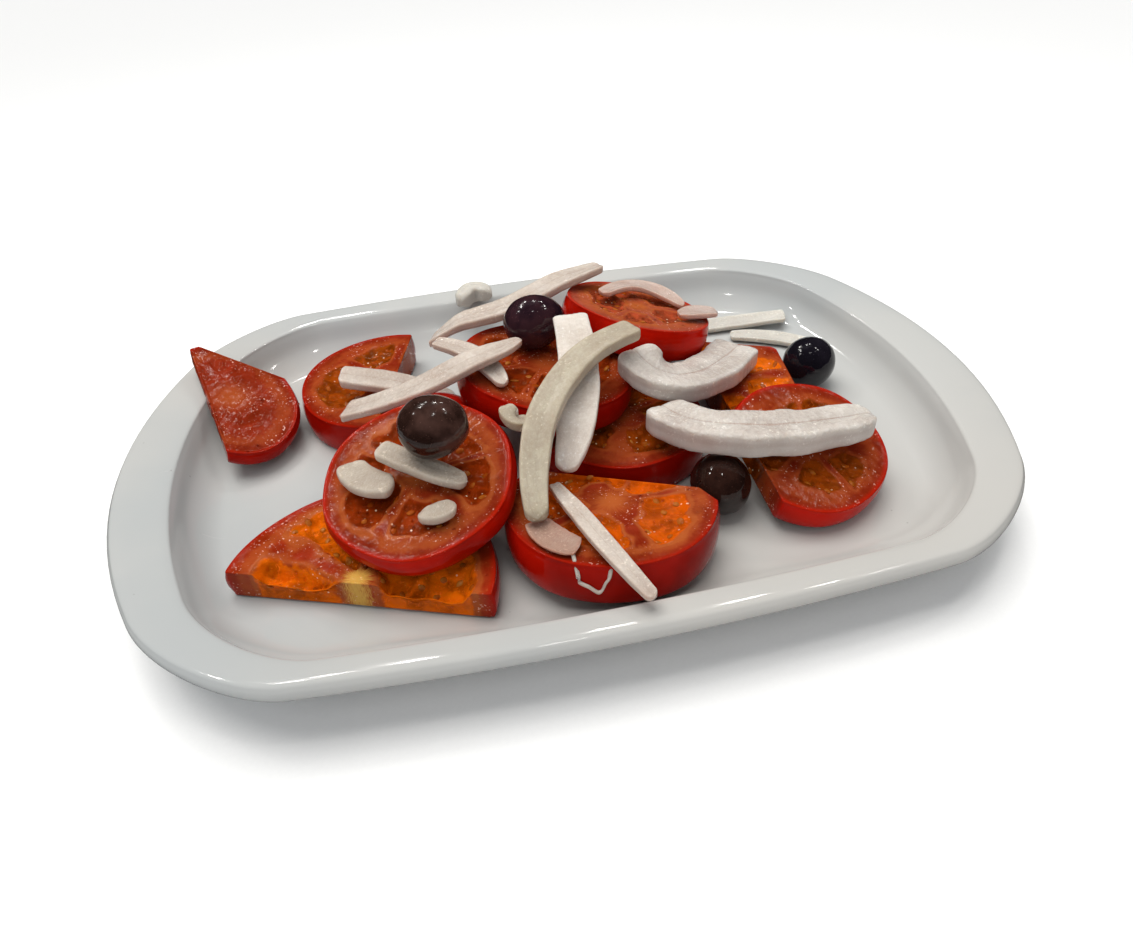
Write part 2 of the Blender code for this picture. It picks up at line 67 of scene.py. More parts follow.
class Wire:
    """One output of a node, on which Python's own arithmetic can be written.

    Numbers go through Math nodes and vectors through Vector Math nodes. make() adds any other
    node to the same tree.
    """

    def __init__(self, tree, socket=None):
        self.tree, self.socket = tree, socket

    def make(self, kind, settings=(), sockets=(), out=0):
        """A node of this kind: its settings first, then the values or links of its inputs."""
        node = self.tree.nodes.new(kind)
        for key, value in dict(settings).items():
            setattr(node, key, value)
        for key, value in dict(sockets).items():
            if isinstance(value, Wire):
                self.tree.links.new(value.socket, node.inputs[key])
            else:
                node.inputs[key].default_value = value
        return Wire(self.tree, node.outputs[out])

    def maths(self, operation, *values):
        """A Vector Math node where any wire is a vector or a colour, and otherwise a Math node."""
        wires = [value for value in values if isinstance(value, Wire)]
        if any(wire.socket.type in ("VECTOR", "RGBA") for wire in wires):
            spread = [value if isinstance(value, (Wire, tuple)) else (value,) * 3 for value in values]
            return self.make("ShaderNodeVectorMath", {"operation": operation}, enumerate(spread))
        return self.make("ShaderNodeMath", {"operation": operation}, enumerate(values))

    def __add__(self, other):
        return self.maths("ADD", self, other)

    def __sub__(self, other):
        return self.maths("SUBTRACT", self, other)

    def __rsub__(self, other):
        return self.maths("SUBTRACT", other, self)

    def __mul__(self, other):
        return self.maths("MULTIPLY", self, other)

    def __truediv__(self, other):
        return self.maths("DIVIDE", self, other)

    def __rtruediv__(self, other):
        return self.maths("DIVIDE", other, self)

    def __pow__(self, other):
        return self.maths("POWER", self, other)

    __radd__, __rmul__ = __add__, __mul__

    def least(self, other):
        return self.maths("MINIMUM", self, other)

    def most(self, other):
        return self.maths("MAXIMUM", self, other)

    def sine(self):
        return self.maths("SINE", self)

    def size(self):
        return self.make("ShaderNodeVectorMath", {"operation": "LENGTH"}, {0: self}, out="Value")

    def across(self, other):
        return self.make("ShaderNodeVectorMath", {"operation": "CROSS_PRODUCT"}, {0: self, 1: other})

    def unit(self):
        return self.make("ShaderNodeVectorMath", {"operation": "NORMALIZE"}, {0: self})

    def __abs__(self):
        return self.maths("ABSOLUTE", self)

    def stored(self, name, out="Fac"):
        """What the mesh stores under this name."""
        return self.make("ShaderNodeAttribute", {"attribute_name": name}, out=out)

    def trio(self, x, y, z):
        """A vector of three numbers."""
        return self.make("ShaderNodeCombineXYZ", (), {0: x, 1: y, 2: z})

    def part(self, axis):
        """One of a vector's three numbers."""
        return self.make("ShaderNodeSeparateXYZ", (), {0: self}, out="XYZ".index(axis))

    def step(self, low, high):
        """0 below low, 1 above high and smooth between. With low above high it falls."""
        return self.make("ShaderNodeMapRange", {"interpolation_type": "SMOOTHSTEP"},
                         {"Value": self, "From Min": low, "From Max": high})

    def mix(self, none, full):
        """The colour none where this mask is 0 and the colour full where it is 1."""
        ends = [end if isinstance(end, Wire) else (*end, 1.0) for end in (none, full)]
        settings = {"data_type": "RGBA", "clamp_factor": True}
        return self.make("ShaderNodeMix", settings, {0: self, 6: ends[0], 7: ends[1]}, out=2)

    def noise(self, scale, detail=3.0, roughness=0.5, twist=0.0):
        """Cloudy noise from 0 to 1 at this place, with scale in bumps to the metre."""
        sockets = {"Vector": self, "Scale": scale, "Detail": detail, "Roughness": roughness,
                   "Distortion": twist}
        return self.make("ShaderNodeTexNoise", (), sockets)

    def cells(self, scale):
        """Distance to the nearest point of an uneven lattice, 0 at the points."""
        sockets = {"Vector": self, "Scale": scale}
        return self.make("ShaderNodeTexVoronoi", (), sockets, out="Distance")

    def bump(self, strength, millimetres, under=None):
        """A normal raised by this height, which is 0 to 1 of so many millimetres."""
        sockets = {"Strength": strength, "Distance": millimetres * MM, "Height": self}
        if under is not None:
            sockets["Normal"] = under
        return self.make("ShaderNodeBump", (), sockets)


def start_finish(name, **constants):
    """A Principled material, its constants set on the shader's own sockets, and its first wire."""
    material = bpy.data.materials.new(name)
    material.use_nodes = True
    shader = material.node_tree.nodes["Principled BSDF"]
    for label, value in constants.items():
        shader.inputs[label.replace("_", " ")].default_value = value
    place = Wire(material.node_tree).make("ShaderNodeTexCoord", out="Object")
    return material, shader, place


def shade(colour, by, plus=0.0, most=math.inf):
    """The colour made lighter or darker, with none of its numbers over most."""
    return tuple(min(most, channel * by + plus) for channel in colour)


def wire_finish(shader, **wires):
    """Links what changes over the surface to the shader."""
    for label, wire in wires.items():
        wire.tree.links.new(wire.socket, shader.inputs[label.replace("_", " ")])


def placed(name, data):
    """A new object in the scene with this mesh, lamp or camera."""
    made = bpy.data.objects.new(name, data)
    bpy.context.scene.collection.objects.link(made)
    return made


def solid(name, points, faces, material, **attributes):
    """A smooth mesh object in the row frame from points in metres, with attributes by name."""
    mesh = bpy.data.meshes.new(name)
    mesh.from_pydata(np.asarray(points).tolist(), [], faces)
    for label, values in attributes.items():
        kind = "FLOAT_VECTOR" if np.ndim(values) == 2 else "FLOAT"
        layer = mesh.attributes.new(label, kind, "POINT")
        layer.data.foreach_set("vector" if kind == "FLOAT_VECTOR" else "value",
                               np.asarray(values, np.float32).ravel())
    mesh.shade_smooth()
    mesh.materials.append(material)
    return placed(name, mesh)


def skin_faces(ring_count, around, first_point, last_point):
    """Faces through rings of points, closed by a point before the first and after the last."""
    faces = []
    for ring in range(ring_count - 1):
        low, high = 1 + ring * around, 1 + (ring + 1) * around
        faces += [
            (low + i, low + (i + 1) % around, high + (i + 1) % around, high + i)
            for i in range(around)
        ]
    end = 1 + (ring_count - 1) * around
    faces += [(first_point, 1 + (i + 1) % around, 1 + i) for i in range(around)]
    faces += [(end + i, end + (i + 1) % around, last_point) for i in range(around)]
    return faces


def set_down(piece, slot, *nodes):
    """The piece rides on the plate's body, and stands for these solids if there are any."""
    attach(piece, "root")
    if nodes:
        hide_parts(*nodes)


def plate_outline(half_length, half_width, corner):
    """A rounded rectangle in plan whose ends and sides bow outwards."""
    points = []
    for turn, (sx, sy) in enumerate(((1, 1), (-1, 1), (-1, -1), (1, -1))):
        centre = np.array([sx * (half_length - corner), sy * (half_width - corner)])
        angles = np.radians(90.0 * (turn + np.arange(PLATE_CORNER_STEPS + 1) / PLATE_CORNER_STEPS))
        points += list(centre + corner * np.stack([np.cos(angles), np.sin(angles)], axis=1))
        straight = PLATE_SIDE_STEPS if turn % 2 == 0 else PLATE_END_STEPS
        flip = np.array((-1, 1) if turn % 2 == 0 else (1, -1))
        last = points[-1]
        points += [last + (last * flip - last) * step / straight for step in range(1, straight)]
    x, y = np.array(points).T
    return np.stack([
        x * (1.0 - END_BOW * (y / PLATE_HALF_WIDTH) ** 2),
        y * (1.0 - SIDE_BOW * (x / PLATE_HALF_LENGTH) ** 2),
    ], axis=1)


def eased(rows, between):
    """Rows of numbers joined by a smooth curve through them, with extra rows in between."""
    rows = np.asarray(rows, float)
    ends = np.vstack([2 * rows[0] - rows[1], rows, 2 * rows[-1] - rows[-2]])
    made = []
    for i in range(1, len(ends) - 2):
        before, here, there, after = ends[i - 1:i + 3]
        leave = (there - before) / 2
        arrive = (after - here) / 2
        for share in np.arange(between) / between:
            a, b = share**2, share**3
            made.append((2 * b - 3 * a + 1) * here + (b - 2 * a + share) * leave
                        + (3 * a - 2 * b) * there + (b - a) * arrive)
    return np.array(made + [rows[-1]])


length, width, top = PLATE_HALF_LENGTH, PLATE_HALF_WIDTH, PLATE_HEIGHT
flange_l, flange_w = length - END_FLANGE, width - SIDE_FLANGE
under_side = [
    # half length, half width, corner radius, height
    (length - 53.0 + FOOT_WIDTH, width - 41.0 + FOOT_WIDTH, 24.0, 0.0),
    (length - 46.0, width - 34.0, 26.0, 2.6),
    (length - 26.0, width - 19.0, 29.0, 5.5),
    (length - 15.0, width - 9.0, 30.5, 11.5),
    (length - 3.5, width - 2.6, 31.5, top - LIP),
    (length - 0.8, width - 0.7, 31.5, top - 0.78 * LIP),
    (length, width, 31.5, top - 0.45 * LIP),
    (length - 0.8, width - 0.8, 31.5, top - 0.16 * LIP),
    (length - 3.2, width - 2.8, 31.0, top),
    (flange_l + 1.5, flange_w + 1.0, 30.0, top - 0.9),
    (flange_l - 1.0, flange_w - 1.2, 28.0, top - 2.6),
    (flange_l - 3.5, flange_w - 5.0, 27.0, top - 8.0),
    (flange_l - 7.0, flange_w - 10.0, 26.0, FLOOR_TOP + 3.0),
    (flange_l - 11.0, flange_w - 15.0, 24.0, FLOOR_TOP + 0.7),
    (flange_l - 16.0, flange_w - 21.0, 22.0, FLOOR_TOP),
]
foot = [
    (length - 88.0, width - 60.0, 18.0, 2.0),
    (length - 54.0, width - 42.0, 22.0, 2.0),
    (length - 53.0, width - 41.0, 22.0, 0.0),
]
section = np.vstack([foot, eased(under_side, PLATE_RINGS_BETWEEN)])
section = np.vstack([section, [(length - 60, width - 50, 18, FLOOR_TOP), (50, 15, 12, FLOOR_TOP)]])
cad_reach = np.array(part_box("plate")[1])[:2] / MM
rings = []
for half_length, half_width, corner, height in section:
    ring = plate_outline(half_length, half_width, corner)
    ring *= np.minimum(1.0, cad_reach / np.array([length, width]))
    rings.append(np.column_stack([ring, np.full(len(ring), max(height, 0.0))]))
around = len(rings[0])
plate_points = np.vstack([[(0, 0, section[0][3])], *rings, [(0, 0, FLOOR_TOP)]]) * MM
plate_faces = skin_faces(len(rings), around, 0, len(plate_points) - 1)

glaze, shader, place = start_finish("off_white_glaze", IOR=1.52)
cloud = place.noise(13.0, detail=4.0)
warm = place.noise(4.5, detail=2.0).step(0.44, 0.66)
body_colour = cloud.step(0.35, 0.7).mix((0.43, 0.445, 0.445), (0.49, 0.49, 0.475))
body_colour = (warm * 0.45).mix(body_colour, (0.50, 0.465, 0.425))
freckle = place.cells(190.0).step(0.07, 0.03) * place.noise(60.0).step(0.54, 0.62)
body_colour = (freckle * 0.6).mix(body_colour, (0.22, 0.21, 0.19))
scratch_place = place * (60.0, 420.0, 60.0)
scratch = scratch_place.noise(1.0, detail=2.0, twist=0.6).step(0.735, 0.76)
scratch = scratch * place.noise(22.0).step(0.5, 0.62)
body_colour = (scratch * 0.25).mix(body_colour, (0.36, 0.36, 0.35))
dull = place.noise(34.0, detail=5.0, roughness=0.6).step(0.35, 0.75)
wave = place.noise(26.0, detail=1.0).bump(0.30, 0.9)
wave = place.noise(170.0, detail=2.0).bump(0.10, 0.10, under=wave)
rough = dull * 0.08 + 0.07 + scratch * 0.2
wire_finish(shader, Base_Color=body_colour, Roughness=rough, Normal=wave)

plate = solid("glazed_plate", plate_points, plate_faces, glaze)
set_down(plate, "plate", "plate")


# ======================================================================== the tomatoes
# Twelve cuts of ripe salad tomato, sliced across the core with a sharp knife: red skin, a wall
# of flesh, and seed chambers of clear orange gel between ribs that meet in a pale core.
ROUND_SLICE = 224
FACE_ROWS = 46
SIDE_ROWS = 12
UNDER_ROWS = 10
EDGE_ROUND = 0.45
WALL_FLESH = 7.0
CORE_SHARE = 0.28
RIB_HALF = 1.6
CHAMBER_EDGE = 2.5
SKIN_BULGE = 0.9
# How sharply the walls of a chamber meet, how far in from a knife cut its gel sinks, and the
# depth that stands for no chamber.
CHAMBER_CORNER = 0.9
SLUMP_REACH = 11.0
NO_CHAMBER = -3.0
# Directions and rounds in which an outline is found, points and rounds in which a cut is laid
# where its solid lies, and how nearly its axis has to point the solid's way before it is tilted.
RAYS = 720
REACH_ROUNDS = 8
MARKS_ROUND = 30
MATCH_ROUNDS = 30
SAME_WAY = 0.8
# Waves in an uneven surface, the height they reach together, and the metres between the
# patterns of two cuts.
RIPPLE_WAVES = 9
RIPPLE_HEIGHT = 3.6
NOISE_APART = 0.05


def ripples(points, size, seed):
    """Smooth unevenness from -1 to 1 over points, with swells about this size."""
    chance = np.random.default_rng(seed)
    total = np.zeros(len(points))
    for _ in range(RIPPLE_WAVES):
        way = chance.normal(size=points.shape[1])
        way *= chance.uniform(0.7, 1.6) * math.tau / size / np.linalg.norm(way) / 1.6
        total += np.sin(points @ way + chance.uniform(0, math.tau))
    return total / RIPPLE_HEIGHT


def facing(degrees):
    """A step of one in plan in this direction."""
    return np.array([math.cos(math.radians(degrees)), math.sin(math.radians(degrees))])


def smooth_step(value, low, high):
    """0 below low, 1 above high and smooth between."""
    share = np.clip((value - low) / (high - low), 0.0, 1.0)
    return share * share * (3.0 - 2.0 * share)


class Cut:
    """One cut of tomato round its core, in millimetres and degrees.

    cuts are straight knife cuts, each a direction and a distance from the core. sunk is how far
    the gel lies below the cut face, lobes and squash how lobed and how oval the tomato is, and
    dome how far its end stands up. turn is the direction of the even chambers, and swing turns
    the grown ones on from there. slump is how far the gel sinks where the first knife cut opened
    its chambers, and core the reach of the pale core as a share of the radius.
    """

    def __init__(self, radius, thick, cuts=(), chambers=5, turn=0.0, sunk=1.6, lobes=0.02,
                 seed=1, squash=1.0, dome=0.0, slump=0.0, swing=0.0, core=CORE_SHARE):
        self.radius, self.half, self.cuts = radius, thick / 2.0, cuts
        self.chambers, self.turn, self.sunk = chambers, math.radians(turn), sunk
        self.lobes, self.seed, self.squash, self.dome = lobes, seed, squash, dome
        self.slump, self.swing, self.core = slump, math.radians(swing), core
        self.middle = np.zeros(2)
        for degrees, distance in cuts:
            self.middle += facing(degrees) * min(0.0, (distance - radius) / 2.0)

    def rim(self, angle):
        """The tomato's own radius at an angle round the core, gently lobed."""
        a = angle + self.seed
        egg = 1.0 / np.hypot(np.cos(angle), np.sin(angle) / self.squash)
        lobe = np.cos(2.0 * a) + 0.5 * np.cos(self.chambers * a + 1.0)
        return self.radius * egg * (1.0 + self.lobes * lobe)

    def outline(self, count):
        """count points round the piece, evenly spaced, and how far each is skin and not cut."""
        rays = np.linspace(0.0, math.tau, RAYS, endpoint=False)
        way = np.stack([np.cos(rays), np.sin(rays)], axis=1)
        reach = np.full(len(rays), float(self.radius))
        for _ in range(REACH_ROUNDS):
            point = self.middle + way * reach[:, None]
            reach += self.rim(np.arctan2(point[:, 1], point[:, 0])) - np.hypot(*point.T)
        skin = np.ones(len(rays))
        for degrees, distance in self.cuts:
            ahead = way @ facing(degrees)
            room = (distance - self.middle @ facing(degrees)) / np.maximum(ahead, 1e-3)
            limit = np.where(ahead > 1e-3, room, np.inf)
            skin = np.where(limit < reach, 0.0, skin)
            reach = np.minimum(reach, limit)
        point = self.middle + way * reach[:, None]
        along = np.concatenate([[0.0], np.cumsum(np.hypot(*(np.roll(point, -1, 0) - point).T))])
        wanted = np.linspace(0.0, along[-1], count, endpoint=False)
        index = np.clip(np.searchsorted(along, wanted, side="right") - 1, 0, len(rays) - 1)
        return point[index], skin[index]

    def depth(self, x, y, grown=False):
        """Millimetres inside a seed chamber, and below nought in the flesh.

        grown chambers are uneven, as in a real tomato, and the others even.
        """
        size, angle = np.hypot(x, y), np.arctan2(y, x)
        if not grown:
            rib = size * (0.5 - 0.5 * np.cos(self.chambers * (angle - self.turn))) - RIB_HALF
            core = CORE_SHARE * self.radius
            return np.minimum(np.minimum(self.rim(angle) - WALL_FLESH - size, size - core), rib)
        seed = self.seed
        drift = 0.20 * np.sin(2.0 * angle + 1.7 * seed) + 0.10 * np.sin(3.0 * angle + seed)
        wall = WALL_FLESH * (1.0 + 0.24 * np.sin(3.0 * angle + 2.3 * seed))
        core = self.core * self.radius * (1.0 + 0.32 * np.sin(2.0 * angle + 0.9 * seed))
        rib_half = 0.8 * RIB_HALF * (1.0 + 0.6 * np.sin(angle + 3.1 * seed))
        round_core = angle - self.turn + drift - self.swing
        rib = size * (0.5 - 0.5 * np.cos(self.chambers * round_core)) - rib_half
        near = np.stack([self.rim(angle) - wall - size, size - core, rib])
        soft = -np.log(np.exp(-CHAMBER_CORNER * near).sum(axis=0)) / CHAMBER_CORNER
        return soft + 0.7 * ripples(np.column_stack([x, y]), 6.0, seed + 30)

    def hollow(self, x, y, grown=False):
        """1 in a seed chamber, 0 in the flesh, with soft edges."""
        return np.clip(self.depth(x, y, grown) / CHAMBER_EDGE, 0.0, 1.0)

    def marks(self):
        """The same form in few points, to find how it lies in the frame."""
        edge, skin = self.outline(MARKS_ROUND)
        points = [(*self.middle, self.half + self.dome - self.sunk * self.hollow(*self.middle))]
        for share in (0.32, 0.58, 0.8):
            x, y = (self.middle + (edge - self.middle) * share).T
            top = self.half - self.sunk * self.hollow(x, y) + self.dome * math.sqrt(1 - share**4)
            points += list(zip(x, y, top))
        out = edge - self.middle
        out /= np.hypot(*out.T)[:, None]
        for level in (1.0, 0.35, -0.35, -1.0):
            points += [(x, y, self.half * level) for x, y in self.bulged(edge, out, level, skin)]
        points.append((*self.middle, -self.half))
        return np.array(points)

    def surface(self):
        """Rings of points from the middle of the face over the side to the middle below.

        Returns the points with the skin of each, 1 where it is the tomato's own skin.
        """
        edge, skin = self.outline(ROUND_SLICE)
        out = edge - self.middle
        reach = np.hypot(*out.T)
        out /= reach[:, None]
        corner = np.radians([0, 22, 45, 67, 90])
        rows, tone = [], []
        for share in np.linspace(0.0, 1.0, FACE_ROWS + 1)[1:]:
            plan = self.middle + out * ((reach - EDGE_ROUND) * share)[:, None]
            x, y = plan.T
            top = self.half + self.dome * math.sqrt(max(0.0, 1.0 - share**4))
            height = top - self.face_dip(x, y, share) - self.slumped(x, y)
            rows.append(np.column_stack([plan, height]))
            tone.append(np.full(len(x), 1.0 if self.dome else 0.0))
        for turn in corner[1:-1]:
            plan = edge - out * EDGE_ROUND * (1.0 - math.sin(turn))
            height = self.half - EDGE_ROUND * (1.0 - math.cos(turn))
            rows.append(np.column_stack([plan, height - self.slumped(*plan.T)]))
            tone.append(skin * turn / corner[-1])
        for level in np.linspace(1.0, -1.0, SIDE_ROWS):
            height = (self.half - EDGE_ROUND) * level
            row = self.bulged(edge, out, level, skin)
            row = row - out * self.side_dip(row, height, skin)[:, None]
            sunk = self.slumped(*edge.T) * (level + 1.0) / 2.0
            rows.append(np.column_stack([row, height - sunk]))
            tone.append(skin)
        for share in np.linspace(1.0, 0.0, UNDER_ROWS + 1)[:-1] ** 0.7:
            plan = self.middle + out * ((reach - EDGE_ROUND) * share)[:, None]
            rows.append(np.column_stack([plan, np.full(len(plan), -self.half)]))
            tone.append(np.zeros(len(plan)))
        first = self.half + self.dome - self.face_dip(*self.middle[:, None], 0.0)[0]
        points = np.vstack([[(*self.middle, first)], *rows, [(*self.middle, -self.half)]])
        tones = np.concatenate([[tone[0][0]], *tone, [0.0]])
        return points, tones, len(rows)

    def dents(self, where, deep, size, kind):
        """Hollows this deep on the whole and about this far across. kind tells patterns apart."""
        return deep + deep * ripples(where, size, self.seed + kind)

    def bulged(self, edge, out, level, skin):
        """The row of the side at a level from 1 at its top to -1, where the skin swells out."""
        return edge + out * (SKIN_BULGE * (1.0 - level * level) * skin)[:, None]

    def face_dip(self, x, y, share):
        """How far the cut face lies below flat: sunken gel, granular flesh and knife swells."""
        where = np.column_stack([x, y])
        inside = self.hollow(x, y, grown=True)
        if self.dome:
            return self.dents(where, 0.25, 9.0, 0)
        dip = 0.6 * self.sunk * inside
        dip = dip + inside * (0.9 * self.dents(where, 0.5, 4.2, 50) - 0.25)
        dip = dip + self.dents(where, 0.18, 11.0, 60)
        dip = dip + self.dents(where, 0.06, 2.4, 70)
        return dip * smooth_step(1.0 - share, 0.0, 0.05)

    def slumped(self, x, y):
        """How far the gel has sunk at the first knife cut, which opened its chambers."""
        if not self.slump:
            return np.zeros(len(x))
        degrees, distance = self.cuts[0]
        ahead, aside = facing(degrees)
        apart = distance - x * ahead - y * aside
        uneven = 0.8 + 0.2 * ripples(np.column_stack([x, y]), 7.0, self.seed + 40)
        near = smooth_step(-apart, -SLUMP_REACH, -1.0)
        return self.slump * self.hollow(x, y, grown=True) * near * uneven

    def side_dip(self, row, height, skin):
        """How far a knife-cut side lies inside flat, with the cut chambers hollow in it."""
        where = np.column_stack([row, np.full(len(row), height)])
        inside = smooth_step(self.depth(*row.T, grown=True), -0.5, 2.0)
        centre = 1.0 - (height / self.half) ** 2
        cut = self.dents(where, 0.2, 6.0, 80) + inside * centre * 1.6
        return np.where(skin > 0.5, self.dents(where, 0.06, 9.0, 90), cut)


def merged_points(node):
    """The different points of a solid in the frame, in millimetres."""
    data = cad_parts[node].data
    points = np.empty(len(data.vertices) * 3, np.float32)
    data.vertices.foreach_get("co", points)
    return np.unique(np.round(points.reshape(-1, 3) / MM, 2), axis=0)


def find_pose(form, node, turn):
    """The turn and shift that lay the form where the frame's solid is."""
    marks, there = form.marks(), merged_points(node)
    rotation = np.array(turn)
    normal = np.linalg.svd(np.cov((there - there.mean(0)).T))[0][:, 2]
    normal *= np.sign(normal[2])
    own = rotation[:, 2]
    if not form.dome and own @ normal > SAME_WAY:
        axis = np.cross(own, normal)
        angle = math.asin(min(1.0, np.linalg.norm(axis)))
        rotation = np.array(Matrix.Rotation(angle, 3, Vector(axis))) @ rotation
    here = marks @ rotation.T
    shift = (there.min(0) + there.max(0) - here.min(0) - here.max(0)) / 2.0
    for _ in range(MATCH_ROUNDS):
        here = marks @ rotation.T + shift
        near = marks[np.linalg.norm(there[:, None] - here[None], axis=2).argmin(axis=1)]
        u, _, v = np.linalg.svd((near - near.mean(0)).T @ (there - there.mean(0)))
        flip = np.diag([1.0, 1.0, np.sign(np.linalg.det(v.T @ u.T))])
        rotation = v.T @ flip @ u.T
        shift = there.mean(0) - rotation @ near.mean(0)
    return rotation, shift


def tomato_finish(name, flesh, pale, gel, skin, heart):
    """Wet tomato: granular flesh with a paler ring and core, clear gel and glossy skin, and painted
    highlights on the flesh and gel.
    """
    material, shader, _ = start_finish(
        name, IOR=1.38, Specular_IOR_Level=0.15, Subsurface_Weight=0.12,
        Subsurface_Radius=(0.004, 0.0008, 0.0004), Subsurface_Scale=0.6,
    )
    tree = Wire(material.node_tree)
    spot = tree.stored("spot", out="Vector")
    pocket = tree.stored("pocket")
    wall = tree.stored("wall")
    skinned = tree.stored("skin")

    level = spot * (1.0, 1.0, 0.0)
    size = level.size() / MM
    fibres = (level.unit() * 5.5 + spot * (50.0, 50.0, 160.0)).noise(3.4, detail=4.0, roughness=0.6)
    fibres = fibres.step(0.38, 0.66)
    mottle = spot.noise(120.0, detail=4.0, roughness=0.6).step(0.30, 0.70)
    grains = spot.noise(760.0, detail=2.0, roughness=0.6)
    specks = spot.cells(640.0).step(0.30, 0.10) * spot.noise(300.0, detail=2.0).step(0.50, 0.62)

    deep_flesh = shade(flesh, 0.82)
    bright_flesh = shade(flesh, 1.22, 0.004)
    colour = mottle.mix(deep_flesh, bright_flesh)
    ring = (wall + mottle * 1.6).step(3.2, 5.4) * (wall + fibres * 2.0).step(9.5, 7.0)
    rib_line = pocket.step(-1.9, -0.3) * pocket.step(0.7, -0.1)
    core = (size + fibres * 3.0).step(10.5, 5.0)
    light = (ring * 0.55 + rib_line + core * 0.65 + fibres * 0.12).least(1.0)
    colour = (light * (mottle * 0.40 + 0.55)).mix(colour, pale)
    colour = (size + fibres * 2.0).step(6.0, 2.5).mix(colour, heart)
    colour = (specks * 0.35).mix(colour, shade(pale, 1.3, 0.012))
    # Painted highlights: small near-white glints on the flesh stand in for wet sparkle.
    painted_glints = spot.noise(1300.0, detail=1.0).step(0.64, 0.76)
    painted_glints = painted_glints * spot.noise(110.0, detail=3.0).step(0.44, 0.60)
    colour = (painted_glints * 0.8).mix(colour, (0.82, 0.50, 0.40))
    colour = (wall.step(2.2, 0.2) * 0.7).mix(colour, shade(skin, 0.8))

    jelly = (pocket + spot.noise(420.0, detail=2.0) * 1.6 - 0.8).step(-0.2, 0.9)
    cloud = spot.noise(190.0, detail=3.0, twist=0.8).step(0.34, 0.66)
    jelly_colour = cloud.mix(shade(gel, 0.52), gel)
    strings = spot.noise(480.0, detail=2.0, twist=2.0).step(0.58, 0.72)
    jelly_colour = (strings * 0.4).mix(jelly_colour, shade(gel, 1.5, 0.02))
    # Painted highlights: pale spots in the gel stand in for wet glints.
    painted_gel_glints = spot.cells(430.0).step(0.17, 0.08) * spot.noise(75.0, detail=2.0).step(0.48, 0.58)
    jelly_colour = (painted_gel_glints * 0.8).mix(jelly_colour, (0.90, 0.70, 0.50))
    colour = jelly.mix(colour, jelly_colour)

    tint = spot.noise(60.0, detail=3.0).step(0.35, 0.7)
    peel = tint.mix(shade(skin, 0.60), skin)
    freckles = spot.cells(520.0).step(0.10, 0.04) * 0.3
    peel = freckles.mix(peel, shade(skin, 1.6, 0.03))
    colour = skinned.step(0.50, 1.00).mix(colour, peel)

    wet = spot.noise(80.0, detail=4.0, roughness=0.55).step(0.36, 0.62)
    rough = wet * -0.09 + 0.18 - jelly * 0.07 - skinned * 0.07
    grainy = (1.0 - skinned) * (1.0 - jelly * 0.7)
    face = (grains * grainy).bump(0.8, 0.13)
    lumps = (spot.noise(420.0, detail=2.0, twist=0.5) * jelly).bump(0.8, 0.6, under=face)
    film = spot.noise(190.0, detail=2.0).bump(0.15, 0.5, under=lumps)
    wire_finish(shader, Base_Color=colour, Roughness=rough.most(0.08), Normal=film)
    return material


def degrees_about(axis, angle):
    return np.array(Matrix.Rotation(math.radians(angle), 3, axis))


RED_FLESH = (0.25, 0.018, 0.003)
PINK_FLESH = (0.20, 0.015, 0.003)
BROWN_FLESH = (0.20, 0.016, 0.004)
PALE_FLESH = (0.30, 0.052, 0.026)
PALE_RIB = (0.33, 0.060, 0.014)
PALE_CORE = (0.37, 0.084, 0.019)
YELLOW_HEART = (0.60, 0.34, 0.07)
ORANGE_GEL = (0.68, 0.120, 0.0015)
AMBER_GEL = (0.54, 0.078, 0.0012)
BROWN_GEL = (0.28, 0.046, 0.002)
RED_GEL = (0.26, 0.028, 0.002)
PINK_GEL = (0.38, 0.060, 0.020)
RED_SKIN = (0.40, 0.006, 0.0015)
BRIGHT_SKIN = (0.52, 0.008, 0.0015)

